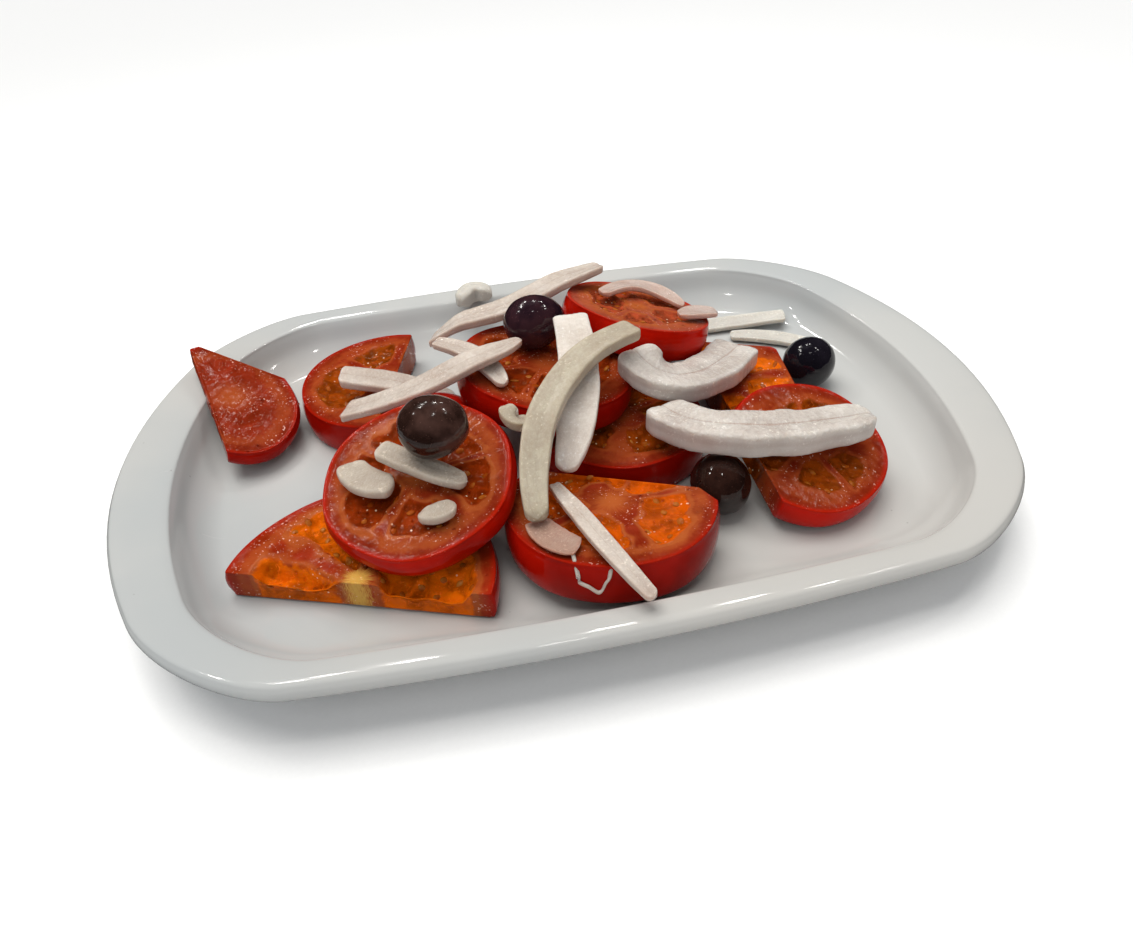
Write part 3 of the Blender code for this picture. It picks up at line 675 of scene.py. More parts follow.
TOMATOES = (
    # solid, heading, lean, cut, flesh, pale, gel, skin
    ("tomato_half_front_left", -21, (0, 0),
     Cut(38.5, 9.5, cuts=((-90, 2.0),), chambers=6, turn=10, sunk=2.5, lobes=0.012, seed=2,
         slump=5.0, swing=30, core=0.12),
     RED_FLESH, PALE_CORE, ORANGE_GEL, RED_SKIN),
    ("tomato_thick_front", -27, (0, 0),
     Cut(30.6, 13, cuts=((90, 11.5), (47, 25.0)), chambers=5, turn=18, lobes=0.012, seed=3),
     PINK_FLESH, PALE_CORE, AMBER_GEL, RED_SKIN),
    ("tomato_thick_middle", 20, (0, 0), Cut(28.5, 13, chambers=6, seed=4),
     BROWN_FLESH, PALE_RIB, BROWN_GEL, RED_SKIN),
    ("tomato_half_back_left", 0, (0, 0),
     Cut(30.5, 12, cuts=((-16, 3.0),), chambers=5, lobes=0.01, seed=6),
     PINK_FLESH, PALE_RIB, BROWN_GEL, RED_SKIN),
    ("tomato_end_middle", 0, (0, 0), Cut(19.5, 8, chambers=5, sunk=0.0, seed=8, dome=13),
     RED_FLESH, PALE_RIB, RED_GEL, RED_SKIN),
    ("tomato_piece_back_right", 0, (0, 0),
     Cut(29, 12, cuts=((180, 5.0), (-8, 23.5), (66, 24.0)), chambers=5, seed=5),
     PINK_FLESH, PALE_RIB, ORANGE_GEL, RED_SKIN),
    ("tomato_slab_left", 118, (12, 13),
     Cut(28, 6, cuts=((77.7, 7.8), (-56.7, 16.6)), chambers=5, sunk=0.0, seed=7, squash=0.72),
     PINK_FLESH, PALE_RIB, RED_GEL, RED_SKIN),
    ("tomato_slice_right", 0, (15, 7), Cut(25.0, 9, cuts=((186, 18.5),), chambers=5, seed=9),
     PINK_FLESH, PALE_RIB, BROWN_GEL, BRIGHT_SKIN),
    ("tomato_slice_middle", 0, (0, 12), Cut(29, 10, chambers=6, seed=10),
     PINK_FLESH, PALE_RIB, RED_GEL, RED_SKIN),
    ("tomato_slice_front", 0, (17, -10), Cut(28.5, 8, chambers=6, seed=11),
     PINK_FLESH, PALE_CORE, RED_GEL, BRIGHT_SKIN),
    ("tomato_slice_back_under", 0, (0, 0), Cut(21, 9, chambers=5, seed=12),
     RED_FLESH, PALE_RIB, RED_GEL, RED_SKIN),
    ("tomato_slice_back", 0, (-12, 9), Cut(25.5, 11, chambers=5, seed=13),
     PALE_FLESH, PALE_CORE, PINK_GEL, BRIGHT_SKIN),
)

faces_with_gel = []
for node, heading, lean, cut, flesh, pale, gel, skin in TOMATOES:
    turn = degrees_about("X", lean[0]) @ degrees_about("Y", lean[1]) @ degrees_about("Z", heading)
    rotation, shift = find_pose(cut, node, turn)
    local, skinned, rows = cut.surface()
    pocket = cut.depth(local[:, 0], local[:, 1], grown=True)
    if cut.sunk == 0.0:
        pocket = np.full(len(local), NO_CHAMBER)
    wall = cut.rim(np.arctan2(local[:, 1], local[:, 0])) - np.hypot(local[:, 0], local[:, 1])
    world = (local @ rotation.T + shift) * MM
    faces = [face[::-1] for face in skin_faces(rows, ROUND_SLICE, 0, len(local) - 1)]
    heart = YELLOW_HEART if cut.slump else pale
    finish = tomato_finish(node + "_wet", flesh, pale, gel, skin, heart)
    spot = local * MM + (0.0, 0.0, NOISE_APART * cut.seed)
    marks = dict(spot=spot, pocket=pocket, wall=wall, skin=skinned)
    piece = solid(node.replace("tomato_", "cut_"), world, faces, finish, **marks)
    set_down(piece, "tomato", node)
    faces_with_gel.append((world, faces, pocket))


# ======================================================================== seeds and juice
# Flat, pale yellow tomato seeds, each in its own skin of clear jelly, lie in the cut chambers.
# Juice has run out of them and stands in small beads on the cut faces.


def grow_tree(name, *sizes):
    """A geometry tree with inputs for its geometry, its material, its seed and these sizes."""
    tree = bpy.data.node_groups.new(name, "GeometryNodeTree")
    tree.interface.new_socket("Geometry", in_out="OUTPUT", socket_type="NodeSocketGeometry")
    kinds = {"Geometry": "Geometry", "Material": "Material", "Seed": "Int"}
    kinds.update(dict.fromkeys(sizes, "Float"))
    for label, kind in kinds.items():
        tree.interface.new_socket(label, in_out="INPUT", socket_type="NodeSocket" + kind)
    group = tree.nodes.new("NodeGroupInput")
    return tree, {socket.name: Wire(tree, socket) for socket in group.outputs if socket.name}


def close_tree(made, paint):
    """Smooths and realizes what the tree made, paints it and links it to the output."""
    whole = made.make("GeometryNodeSetShadeSmooth", (), {0: made})
    whole = made.make("GeometryNodeRealizeInstances", (), {0: whole})
    whole = made.make("GeometryNodeSetMaterial", (), {0: whole, "Material": paint})
    output = made.tree.nodes.new("NodeGroupOutput")
    made.tree.links.new(whole.socket, output.inputs[0])


def grown(name, tree, base, values):
    """A plain mesh object: what the tree makes of the base object with these input values."""
    modifier = base.modifiers.new("grow", "NODES")
    modifier.node_group = tree
    for item in tree.interface.items_tree:
        if item.in_out == "INPUT" and item.name in values:
            modifier[item.identifier] = values[item.name]
    depsgraph = bpy.context.evaluated_depsgraph_get()
    mesh = bpy.data.meshes.new_from_object(base.evaluated_get(depsgraph))
    base.modifiers.remove(modifier)
    bpy.data.objects.remove(base)
    mesh.name = name
    return placed(name, mesh)


bits, given = grow_tree("bits_in_the_chambers", "Length", "Width", "Thickness", "Spacing", "Thickly",
                        "Pocket from", "Pocket to", "Raised")
start = Wire(bits)
pocket = start.make("GeometryNodeInputNamedAttribute", {"data_type": "FLOAT"}, {"Name": "pocket"})
normal = start.make("GeometryNodeInputNormal")
within = start.make("ShaderNodeMapRange", (), {
    "Value": pocket, "From Min": given["Pocket from"], "From Max": given["Pocket to"],
})
upwards = normal.part("Z").step(-0.35, 0.0)
points = start.make("GeometryNodeDistributePointsOnFaces", {"distribute_method": "POISSON"}, {
    "Mesh": given["Geometry"], "Distance Min": given["Spacing"], "Density Max": given["Thickly"],
    "Density Factor": within * upwards, "Seed": given["Seed"],
})
spread = points.socket.node
lie = Wire(bits, spread.outputs["Rotation"])
ball = start.make("GeometryNodeMeshUVSphere", (), {"Segments": 14, "Rings": 9, "Radius": 0.5})
place = start.make("GeometryNodeInputPosition")
pointed = 1.0 - place.part("X").step(0.0, 0.6) * 0.45
drop = start.trio(
    place.part("X") * given["Length"],
    place.part("Y") * pointed * given["Width"],
    place.part("Z") * given["Thickness"] + given["Raised"],
)
drop = start.make("GeometryNodeSetPosition", (), {"Geometry": ball, "Position": drop})
turned = start.make("FunctionNodeRandomValue", {"data_type": "FLOAT_VECTOR"}, {
    "Min": (-0.25, -0.25, 0.0), "Max": (0.25, 0.25, math.tau), "Seed": given["Seed"],
})
turned = start.make("FunctionNodeEulerToRotation", (), {0: turned})
turned = start.make("FunctionNodeRotateRotation", {"rotation_space": "LOCAL"}, {0: lie, 1: turned})
uneven = start.make("FunctionNodeRandomValue", {"data_type": "FLOAT_VECTOR"}, {
    "Min": (0.78, 0.8, 0.8), "Max": (1.12, 1.15, 1.2), "Seed": given["Seed"] + 7,
})
many = start.make("GeometryNodeInstanceOnPoints", (), {
    "Points": points, "Instance": drop, "Rotation": turned, "Scale": uneven,
})
close_tree(many, given["Material"])


def whole_cut_faces():
    """One mesh of every cut of tomato, for the seeds and juice to lie on."""
    points, faces, pocket, first = [], [], [], 0
    for world, own_faces, own_pocket in faces_with_gel:
        points.append(world)
        faces += [tuple(first + corner for corner in face) for face in own_faces]
        pocket.append(own_pocket)
        first += len(world)
    return solid("cut_faces", np.vstack(points), faces, glaze, pocket=np.concatenate(pocket))


seed_husk, shader, place = start_finish(
    "seed_husk", IOR=1.40, Subsurface_Weight=0.3, Subsurface_Radius=(0.002, 0.001, 0.0005),
    Subsurface_Scale=0.5,
)
husk = place.noise(330.0, detail=3.0).step(0.36, 0.64).mix((0.30, 0.065, 0.004), (0.42, 0.140, 0.018))
jelly_skin = place.noise(160.0, detail=1.0).step(0.42, 0.62)
husk = (jelly_skin * 0.85).mix(husk, (0.27, 0.036, 0.002))
furry = place.noise(2600.0, detail=1.0).bump(0.4, 0.10)
wire_finish(shader, Base_Color=husk, Roughness=jelly_skin * -0.10 + 0.22, Normal=furry)

seeds = grown("tomato_seeds", bits, whole_cut_faces(), {
    "Length": 2.9 * MM, "Width": 2.0 * MM, "Thickness": 0.9 * MM, "Spacing": 4.3 * MM,
    "Thickly": 90000.0, "Pocket from": 0.5, "Pocket to": 1.8, "Raised": -0.12 * MM, "Seed": 5,
    "Material": seed_husk,
})
set_down(seeds, "tomato")

juice, shader, place = start_finish(
    "tomato_juice", Base_Color=(1.0, 0.86, 0.72, 1.0), IOR=1.34, Transmission_Weight=1.0,
)
wire_finish(shader, Roughness=place.noise(240.0).step(0.5, 0.9) * 0.08 + 0.01)
beads = grown("juice_beads", bits, whole_cut_faces(), {
    "Length": 1.1 * MM, "Width": 1.0 * MM, "Thickness": 0.7 * MM, "Spacing": 2.2 * MM,
    "Thickly": 30000.0, "Pocket from": -5.0, "Pocket to": 3.0, "Raised": 0.0, "Seed": 11,
    "Material": juice,
})
set_down(beads, "tomato")


# ======================================================================== the onion
# Slivers of raw onion cut lengthwise from the bulb, each a layer or two of juicy, half clear
# leaf with fine veins along it. They lie over and between the other pieces.
STATIONS = 10
SALAD_PLACE = (0.0, -2.0)
ROUTE_STEPS = 120
SECTION_POINTS = 76
ON_THE_LINE = 0.12

layer, given = grow_tree("layer_of_onion", "Width", "Thick", "First end", "Last end", "Cup", "Furrow",
                         "Veins", "Ragged", "Square")
start = Wire(layer)
route = start.make("GeometryNodeMeshToCurve", (), {0: given["Geometry"]})
route = start.make("GeometryNodeCurveSplineType", {"spline_type": "CATMULL_ROM"}, {0: route})
route = start.make("GeometryNodeResampleCurve", (), {"Curve": route, "Count": ROUTE_STEPS})
along = start.make("GeometryNodeSplineParameter")
run = start.make("GeometryNodeCurveLength", (), {0: route})
heading = start.make("GeometryNodeInputTangent")
centre = start.make("GeometryNodeInputPosition")


def captured(line, kind, wire):
    """The line with a value stored on it, and that value for use on what is made from it."""
    node = line.tree.nodes.new("GeometryNodeCaptureAttribute")
    node.capture_items.new(kind, "value")
    line.tree.links.new(line.socket, node.inputs[0])
    line.tree.links.new(wire.socket, node.inputs[1])
    return Wire(line.tree, node.outputs[0]), Wire(line.tree, node.outputs[1])


route, along = captured(route, "FLOAT", along)
route, heading = captured(route, "VECTOR", heading)
route, centre = captured(route, "VECTOR", centre)
ring = start.make("GeometryNodeCurvePrimitiveCircle", (), {"Resolution": SECTION_POINTS, "Radius": 1.0})
ring, round_place = captured(ring, "VECTOR", start.make("GeometryNodeInputPosition"))
sheet = start.make("GeometryNodeCurveToMesh", (), {0: route, 1: ring, "Fill Caps": True})

flat = abs(round_place)
square = given["Square"]
corner = (flat.part("X") ** square + flat.part("Y") ** square) ** (-1.0 / square)
p, q = round_place.part("X") * corner, round_place.part("Y") * corner
swell = (along * math.pi).sine().most(0.0) ** 0.6
first, last = given["First end"], given["Last end"]
full = (first * (1.0 - along) + last * along) * (1.0 - swell) + swell
near_end = along.least(1.0 - along) * run / (given["Thick"] * 0.5)
closing = near_end.least(1.0)
closing = (1.0 - (1.0 - closing) ** 2.0).most(0.0004) ** 0.5
seeded = start.trio(given["Seed"], given["Seed"] * 3.1, 0.0)
rough_place = centre * 90.0 + seeded + start.trio(0.0, 0.0, p)
ragged = rough_place.noise(1.0, detail=3.0) - 0.5
half_wide = given["Width"] / 2.0 * full * (ragged * given["Ragged"] + 1.0)
across = p * half_wide * closing
veins = (p * given["Veins"] + rough_place.noise(0.35, detail=1.0) * 6.0).sine()
veins = veins * q.step(0.2, 0.9) * 0.05 * MM
furrow = given["Furrow"] * (1.0 - (abs(p + 0.05) / 0.16).least(1.0)) * q.step(0.3, 0.9)
hollow = given["Cup"] * (1.0 - p * p)
lumpy = (rough_place * 2.3).noise(1.0, detail=2.0) - 0.5
tall = q * given["Thick"] / 2.0 * (full * 0.45 + 0.55) * closing
tall = tall - (hollow + furrow) * closing + veins * closing + lumpy * q * given["Ragged"] * 1.2 * MM
flat_heading = (heading * (1.0, 1.0, 0.0)).unit()
side = start.trio(0.0, 0.0, 1.0).across(flat_heading)
place = centre + side * across + start.trio(0.0, 0.0, tall)
formed = start.make("GeometryNodeSetPosition", (), {"Geometry": sheet, "Position": place})
for label, value, kind in (("share", along, "FLOAT"), ("side", p, "FLOAT"), ("level", q, "FLOAT")):
    formed = start.make("GeometryNodeStoreNamedAttribute", {"data_type": kind, "domain": "POINT"}, {
        0: formed, "Name": label, "Value": value,
    })
close_tree(formed, given["Material"])


def onion_finish(name, light, dark, clear, tinge, line=0.0, fibrous=0.3):
    """Juicy leaf: fine veins along the strip, half clear edges, a tinge in its cut side and painted
    highlights.

    fibrous is how rough the torn fibres across its upper side are.
    """
    material, shader, place = start_finish(
        name, IOR=1.38, Subsurface_Weight=0.75, Subsurface_Radius=(0.004, 0.0035, 0.003),
        Subsurface_Scale=0.9,
    )
    tree = Wire(material.node_tree)
    share = tree.stored("share")
    side = tree.stored("side")
    level = tree.stored("level")
    along_leaf = tree.trio(share * 5.0, side * 9.0, level * 2.0)
    veins = along_leaf.noise(1.6, detail=4.0, roughness=0.62).step(0.36, 0.66)
    cloud = place.noise(95.0, detail=3.0).step(0.35, 0.68)
    torn = tree.trio(share * 46.0, side * 3.0, level * 2.0)
    torn = torn.noise(1.2, detail=3.0, roughness=0.6, twist=0.4).step(0.34, 0.70)
    torn = torn * level.step(0.2, 0.8)
    colour = (veins * 0.12 + cloud * 0.50 + torn * 0.38).mix(dark, light)
    edge = abs(side).step(0.72, 1.0)
    thin = (edge * 0.6 + share.step(0.12, 0.0) * 0.5 + share.step(0.9, 1.0) * 0.5).least(1.0) * clear
    colour = thin.mix(colour, tinge)
    cut_line = abs(level - 0.15).step(0.30, 0.05) * edge
    wander = along_leaf.noise(0.7, detail=1.0) * 0.24 - 0.07
    seam = abs(side + wander).step(0.06, 0.01) * level.step(0.3, 0.8)
    colour = (cut_line * line + seam * line * 2.6).least(1.0).mix(colour, (0.30, 0.15, 0.10))
    grain = place.cells(1500.0).step(0.5, 0.1)
    colour = (grain * 0.18).mix(colour, shade(light, 1.15, most=1.0))
    # Painted highlights: fine pale specks on the leaf stand in for wet glints.
    painted_glints = place.noise(1100.0, detail=1.0).step(0.60, 0.72)
    painted_glints = painted_glints * place.noise(120.0, detail=3.0).step(0.44, 0.62)
    colour = (painted_glints * 0.45).mix(colour, shade(light, 1.5, most=0.92))
    wet = place.noise(75.0, detail=3.0).step(0.40, 0.62)
    height = (veins * 0.20 + grain * 0.5 + torn * fibrous * 2.5).bump(0.45, 0.16)
    film = place.noise(240.0, detail=2.0).bump(0.55, 0.55, under=height)
    wire_finish(shader, Base_Color=colour, Roughness=wet * -0.10 + 0.16, Normal=film)
    return material


white_leaf = onion_finish("onion_white", (0.58, 0.53, 0.465), (0.42, 0.355, 0.30), 0.35,
                          (0.42, 0.33, 0.26))
ivory_leaf = onion_finish("onion_ivory", (0.49, 0.44, 0.345), (0.37, 0.31, 0.24), 0.35,
                          (0.40, 0.33, 0.22))
clear_leaf = onion_finish("onion_clear", (0.62, 0.56, 0.50), (0.45, 0.37, 0.315), 0.5,
                          (0.44, 0.31, 0.26), line=0.10)
film_leaf = onion_finish("onion_film", (0.44, 0.31, 0.25), (0.33, 0.20, 0.15), 0.6, (0.38, 0.16, 0.11))
pink_leaf = onion_finish("onion_pink", (0.56, 0.46, 0.41), (0.45, 0.33, 0.28), 0.6, (0.45, 0.25, 0.20))
thick_leaf = onion_finish("onion_thick", (0.64, 0.60, 0.555), (0.43, 0.37, 0.33), 0.5,
                          (0.70, 0.665, 0.62), line=0.14, fibrous=0.9)
# A lighter copy of the clear leaf for the petal: painted light that makes up for the shade the hook
# casts on it.
petal_leaf_painted_lighter = onion_finish("onion_petal_painted_lighter", (0.74, 0.69, 0.63), (0.56, 0.49, 0.43), 0.4,
                          (0.64, 0.58, 0.52))
far_leaf = onion_finish("onion_far", (0.61, 0.585, 0.53), (0.49, 0.46, 0.415), 0.5,
                        (0.51, 0.485, 0.435))
bit_leaf = onion_finish("onion_bit", (0.54, 0.48, 0.405), (0.38, 0.315, 0.255), 0.4, (0.56, 0.50, 0.43))

# How square a leaf's section is: 2 is an ellipse. Its upper side is hollow by CUP, but for the
# tip, and the two thick pieces have a furrow between their two layers.
SQUARE = 4.5
SQUARE_LEAVES = {thick_leaf: 6.0, bit_leaf: 3.0}
CUP = 0.6
FURROW = 0.6
SLIVERS = (
    # solid, start, bend, end, width, thick, ends, veins, ragged, leaf
    ("onion_far_wall", (58, 60), (84, 63), (106, 56), 9, 2.5, (0.6, 0.9), 9, 0.2, far_leaf),
    ("onion_far_floor", (80, 51), (100, 47), (112, 30), 8, 2.5, (0.6, 0.5), 8, 0.3, far_leaf),
    ("onion_tip_back", (-25, 80), (-20, 94), (-12, 83), 7, 7, (0.7, 0.2), 7, 0.5, far_leaf),
    ("onion_on_slice_left", (-69, -25), (-67, -36), (-57, -38), 10, 4.5, (0.8, 0.7), 9, 0.3, bit_leaf),
    ("onion_on_slice_middle", (-60, -28), (-49, -36), (-37, -42), 8, 4, (0.9, 0.5), 8, 0.3, bit_leaf),
    ("onion_on_slice_chip", (-51, -48), (-47, -52), (-41, -50), 7, 4, (0.6, 0.4), 7, 0.4, bit_leaf),
    ("onion_thin_film", (-20, -54), (-19, -63), (-11, -68), 9, 1.2, (0.7, 0.6), 9, 0.6, film_leaf),
    ("onion_long_front", (-12, -39), (-8, -67), (3, -90), 5.5, 3, (0.5, 0.6), 6, 0.2, clear_leaf),
    ("onion_long_back", (-40, 42), (-18, 30), (27, 55), 10.5, 4, (0.6, 0.4), 9, 0.2, clear_leaf),
    ("onion_upper_left", (-73, 33), (-46, 28), (-33, 31), 11.5, 4, (0.9, 0.9), 9, 0.25, clear_leaf),
    ("onion_curl_left", (-39, 26), (-23, 15), (-20, -4), 7.5, 3, (0.6, 0.4), 7, 0.2, clear_leaf),
    ("onion_lower_left", (-72, 13), (-36, -4), (-11, 12), 11, 3.5, (0.9, 0.15), 9, 0.2, clear_leaf),
    ("onion_pink_back", (23, 37), (44, 57), (52, 33), 7, 2.5, (0.7, 0.3), 7, 0.2, pink_leaf),
    ("onion_pink_right", (47, 22), (55, 27), (63, 27), 8, 2.5, (0.3, 0.4), 7, 0.3, pink_leaf),
    ("onion_small_cup", (-22, -19), (-20, -28), (-14, -18), 6.5, 4, (0.6, 0.5), 6, 0.2, ivory_leaf),
    ("onion_petal_centre", (6, 15.5), (5, -18), (-8, -37), 13, 3.5, (0.9, 0.4), 13, 0.15, petal_leaf_painted_lighter),
    ("onion_cup_right", (24, 4), (31, -23), (69, 18), 17, 8, (0.8, 1.05), 14, 0.45, thick_leaf),
    ("onion_crescent_right", (27, -17), (33, -50), (89, -39.5), 14, 9, (1.1, 0.5), 12, 0.6, thick_leaf),
    ("onion_hook", (25, 3), (-18, -17), (-20, -57), 9.5, 5, (0.9, 0.6), 10, 0.12, ivory_leaf),
)


def middle_height(points, at, heading):
    """The mean height of the corners on a solid's middle line at a station."""
    across = np.array([-heading[1], heading[0]])
    apart = np.abs((points[:, :2] - at) @ across)
    ahead = np.abs((points[:, :2] - at) @ heading)
    return points[(apart < ON_THE_LINE) & (ahead < ON_THE_LINE), 2].mean()


def strip(name, line, values):
    """A sliver of leaf laid along a line of points in metres."""
    mesh = bpy.data.meshes.new("route")
    steps = [(i, i + 1) for i in range(len(line) - 1)]
    mesh.from_pydata([tuple(point) for point in line], steps, [])
    return grown(name, layer, placed("route", mesh), values)


for number, sliver in enumerate(SLIVERS):
    node, start_at, bend, end, width, thick, ends, veins, ragged, leaf = sliver
    cup = 0.0 if node == "onion_tip_back" else CUP
    furrow = FURROW if leaf == thick_leaf else 0.0
    corners = merged_points(node)
    line = []
    for share in np.linspace(0.0, 1.0, STATIONS):
        a, b, c = (np.add(point, SALAD_PLACE) for point in (start_at, bend, end))
        at = (1 - share) ** 2 * a + 2 * share * (1 - share) * b + share**2 * c
        heading = (1 - share) * (b - a) + share * (c - b)
        heading /= np.hypot(*heading)
        line.append((*at, middle_height(corners, at, heading) + cup + furrow / 2.0))
    piece = strip(node.replace("onion_", "sliver_"), np.array(line) * MM, {
        "Width": width * MM, "Thick": thick * MM, "First end": ends[0], "Last end": ends[1],
        "Cup": cup * MM, "Furrow": furrow * MM, "Veins": float(veins), "Ragged": ragged,
        "Square": SQUARE_LEAVES.get(leaf, SQUARE), "Seed": number, "Material": leaf,
    })
    set_down(piece, "onion", node)

# A torn thread of leaf clings to the rim of the thick front piece.
THREAD = ((-13.1, -68.9, 25.0), (-13.1, -72.5, 24.8), (-12.5, -75.7, 23.0), (-12.1, -75.7, 21.0),
          (-10.0, -77.2, 20.0), (-7.5, -78.2, 18.5), (-5.7, -77.4, 21.0), (-4.5, -77.0, 23.0),
          (-3.9, -77.1, 24.8), (-3.4, -75.2, 25.0))
THREAD_WIDE = 1.2
THREAD_RISE = 0.45 * THREAD_WIDE
front_piece = bpy.data.objects["cut_thick_front"]
seen = bpy.context.evaluated_depsgraph_get()
line = []
for point in THREAD:
    _, at, normal, _ = front_piece.closest_point_on_mesh(Vector(point) * MM, depsgraph=seen)
    line.append(at + normal * THREAD_RISE * MM)
thread = strip("torn_thread", line, {
    "Width": THREAD_WIDE * MM, "Thick": 1.0 * MM, "First end": 0.8, "Last end": 0.8, "Cup": 0.0,
    "Furrow": 0.0, "Veins": 2.0, "Ragged": 0.5, "Square": 2.0, "Seed": 40, "Material": white_leaf,
})
set_down(thread, "onion")


# ======================================================================== the olives
# Four whole black olives, cured until their skin is soft, glossy and a little dented, with the
# round scar of the stalk at the blunter end.
fruit, given = grow_tree("cured_olive", "Length", "Girth", "Blunt")
start = Wire(fruit)
ball = start.make("GeometryNodeMeshUVSphere", (), {"Segments": 72, "Rings": 48, "Radius": 1.0})
place = start.make("GeometryNodeInputPosition")
seeded = start.trio(given["Seed"], given["Seed"] * 2.3, 1.7)
dents = (place * 1.3 + seeded).noise(1.0, detail=1.0) - 0.5
wrinkle = (place * (6.0, 6.0, 2.4) + seeded).noise(1.0, detail=3.0) - 0.5
body = dents * 0.07 + wrinkle * 0.012 + 0.985
scar = place.part("Z").step(0.955, 0.998)
around = given["Girth"] / 2.0 * (1.0 - given["Blunt"] * place.part("Z")) * body
length_of = given["Length"] / 2.0 * (body - scar * 0.035)
place = start.trio(place.part("Z") * length_of, place.part("X") * around, place.part("Y") * around)
formed = start.make("GeometryNodeSetPosition", (), {"Geometry": ball, "Position": place})
formed = start.make("GeometryNodeStoreNamedAttribute", {"data_type": "FLOAT", "domain": "POINT"}, {
    0: formed, "Name": "scar", "Value": scar,
})
close_tree(formed, given["Material"])


def olive_finish(name, dark, light, bloom):
    """Cured olive skin: nearly black with a lighter bloom, pin-prick pores and a pale scar."""
    material, shader, place = start_finish(name, IOR=1.45)
    scar = Wire(material.node_tree).stored("scar")
    cloud = place.noise(110.0, detail=4.0, roughness=0.55).step(0.38, 0.68)
    colour = (cloud * bloom).mix(dark, light)
    pores = place.cells(900.0).step(0.16, 0.06)
    colour = (pores * 0.5).mix(colour, shade(light, 2.0, 0.01, most=1.0))
    colour = (scar * 0.85).mix(colour, (0.10, 0.045, 0.025))
    worn = place.noise(60.0, detail=3.0).step(0.40, 0.70)
    skin = (place.noise(300.0, detail=3.0) + pores * 0.3).bump(0.25, 0.35)
    wire_finish(shader, Base_Color=colour, Roughness=worn * 0.08 + 0.07 + scar * 0.3, Normal=skin)
    return material


OLIVES = (
    # solid, heading, length, girth, darkest colour, bloom colour, amount of bloom
    ("olive_back", 10, 21.9, 18.5, (0.014, 0.006, 0.010), (0.060, 0.022, 0.026), 0.5),
    ("olive_front_left", 0, 20.4, 18.2, (0.018, 0.008, 0.006), (0.078, 0.038, 0.030), 0.7),
    ("olive_front_right", 80, 21.0, 18.8, (0.012, 0.005, 0.004), (0.050, 0.020, 0.014), 0.5),
    ("olive_back_right", 30, 20.0, 18.8, (0.006, 0.005, 0.008), (0.022, 0.018, 0.026), 0.4),
)
for number, (node, heading, length, girth, dark, light, bloom) in enumerate(OLIVES):
    low, high = (np.array(corner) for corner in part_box(node))
    seat = placed("seat", bpy.data.meshes.new("seat"))
    piece = grown(node.replace("olive_", "fruit_"), fruit, seat, {
        "Length": length * MM, "Girth": girth * MM, "Blunt": 0.06, "Seed": 3 + number,
        "Material": olive_finish(node + "_skin", dark, light, bloom),
    })
    turned = Matrix.Rotation(math.radians(heading), 4, "Z")
    piece.data.transform(Matrix.Translation((low + high) / 2) @ turned)
    set_down(piece, "olive", node)


# ======================================================================== floor, light and view
# A plain white table lit by soft light from above and behind, seen from the front and above.
table = bpy.data.meshes.new("table_top")
table.from_pydata([(-20, -20, 0), (20, -20, 0), (20, 20, 0), (-20, 20, 0)], [], [(0, 1, 2, 3)])
table_top = placed("table_top", table)
paper, shader, place = start_finish("white_table", Specular_IOR_Level=0.2)
fibre = place.noise(900.0, detail=2.0)
wire_finish(shader, Base_Color=fibre.mix((0.86, 0.86, 0.86), (0.90, 0.90, 0.90)),
            Roughness=fibre * 0.1 + 0.8, Normal=fibre.bump(0.05, 0.1))
table.materials.append(paper)
table_top.visible_glossy = False

world = bpy.data.worlds.new("pale_room")
bpy.context.scene.world = world
world.use_nodes = True
room = world.node_tree.nodes["Background"].inputs
room["Color"].default_value = (0.94, 0.97, 1.0, 1.0)
room["Strength"].default_value = 0.26
world.cycles_visibility.glossy = False


def hang_light(name, kind, at, strength, colour, shines=True, **shape):
    """A light at a place, turned to the plate. shines is whether it shows in the gloss."""
    lamp = bpy.data.lights.new(name, kind)
    lamp.energy, lamp.color = strength, colour
    for key, value in shape.items():
        setattr(lamp, key, value)
    holder = placed(name, lamp)
    holder.location = at
    holder.rotation_euler = Vector(at).to_track_quat("Z", "Y").to_euler()
    holder.visible_glossy = shines


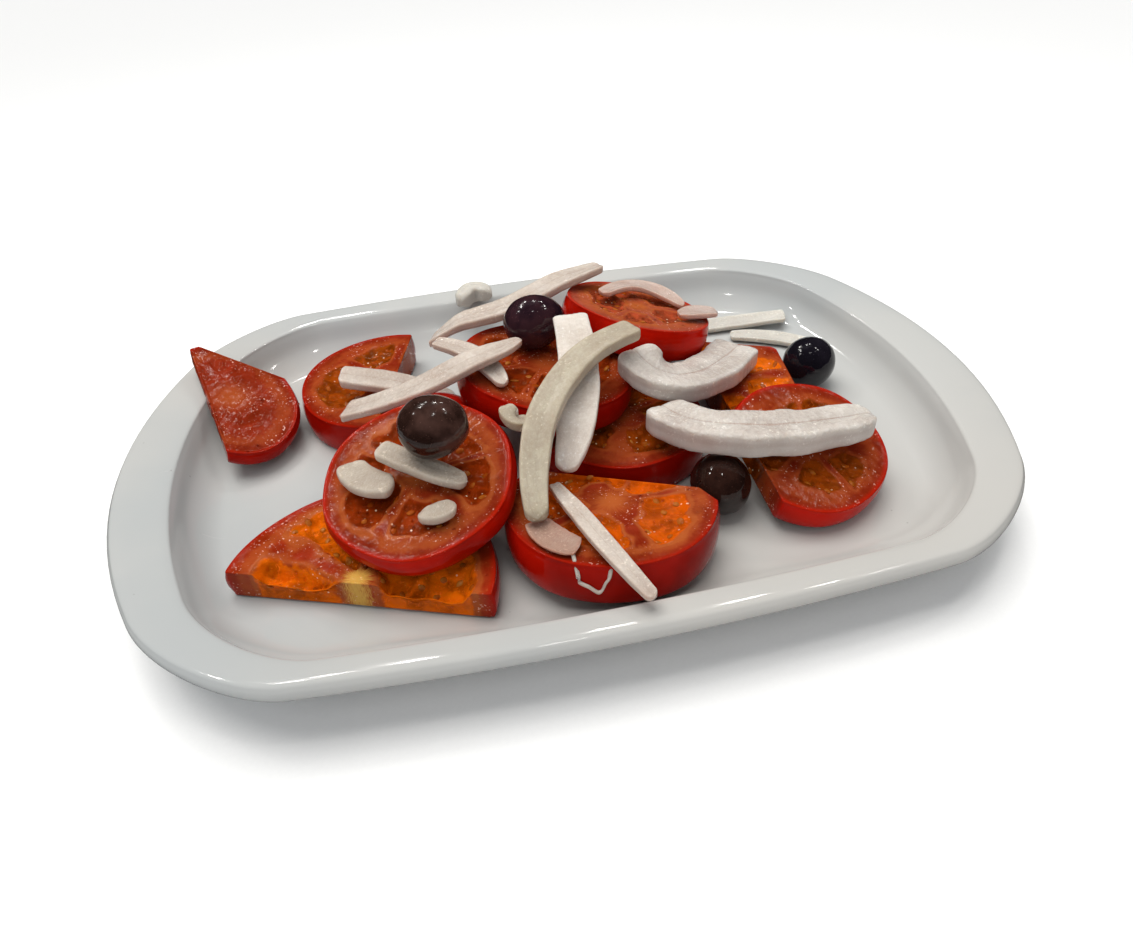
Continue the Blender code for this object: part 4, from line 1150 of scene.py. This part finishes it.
hang_light("ceiling_light", "SUN", (-0.16, 0.20, 0.90), 2.35, (1.0, 0.985, 0.955),
           shines=False, angle=0.8)
hang_light("room_light", "SUN", (-0.30, -0.70, 0.55), 0.85, (0.97, 0.985, 1.0),
           shines=False, angle=1.2)
LAMPS = (
    # name, place, breadth, depth, watts
    ("lamp_left", (-0.20, 0.20, 0.42), 0.040, 0.016, 0.13),
    ("lamp_left_low", (-0.17, 0.27, 0.42), 0.034, 0.016, 0.11),
    ("lamp_left_end", (-0.30, 0.10, 0.40), 0.024, 0.020, 0.08),
    ("lamp_right", (0.24, 0.06, 0.40), 0.034, 0.018, 0.11),
    ("lamp_right_low", (0.27, -0.02, 0.38), 0.024, 0.020, 0.08),
    ("lamp_above", (0.02, -0.12, 0.50), 0.040, 0.016, 0.10),
    ("lamp_back", (0.09, 0.31, 0.47), 0.040, 0.016, 0.20),
    ("lamp_back_left", (-0.10, 0.35, 0.43), 0.034, 0.016, 0.16),
    ("lamp_back_right", (0.22, 0.30, 0.44), 0.034, 0.016, 0.16),
)
for name, at, breadth, depth, watts in LAMPS:
    hang_light(name, "AREA", at, watts, (1.0, 0.98, 0.94), shape="RECTANGLE", size=breadth, size_y=depth)
hang_light("soft_box", "AREA", (0.05, 0.42, 0.85), 0.10, (0.93, 0.97, 1.0),
           shape="RECTANGLE", size=0.6, size_y=0.3)

CAMERA_AZIMUTH, CAMERA_ELEVATION, CAMERA_ROLL = map(math.radians, (-10.9, 40.0, -2.7))
CAMERA_AIM, CAMERA_AWAY, CAMERA_LENS = Vector((-0.006, -0.031, 0.02)), 0.247, 25.42
back = Vector((
    math.sin(CAMERA_AZIMUTH) * math.cos(CAMERA_ELEVATION),
    -math.cos(CAMERA_AZIMUTH) * math.cos(CAMERA_ELEVATION),
    math.sin(CAMERA_ELEVATION),
))
right = (-back).cross(Vector((0, 0, 1))).normalized()
up = right.cross(-back)
turned_right = right * math.cos(CAMERA_ROLL) + up * math.sin(CAMERA_ROLL)
turned_up = up * math.cos(CAMERA_ROLL) - right * math.sin(CAMERA_ROLL)
axes = Matrix((turned_right, turned_up, back)).transposed().to_4x4()
camera = placed("camera", bpy.data.cameras.new("camera"))
camera.data.lens, camera.data.clip_start = CAMERA_LENS, 0.01
camera.matrix_world = Matrix.Translation(CAMERA_AIM + back * CAMERA_AWAY) @ axes
bpy.context.scene.camera = camera
bpy.context.scene.view_settings.view_transform = "Standard"
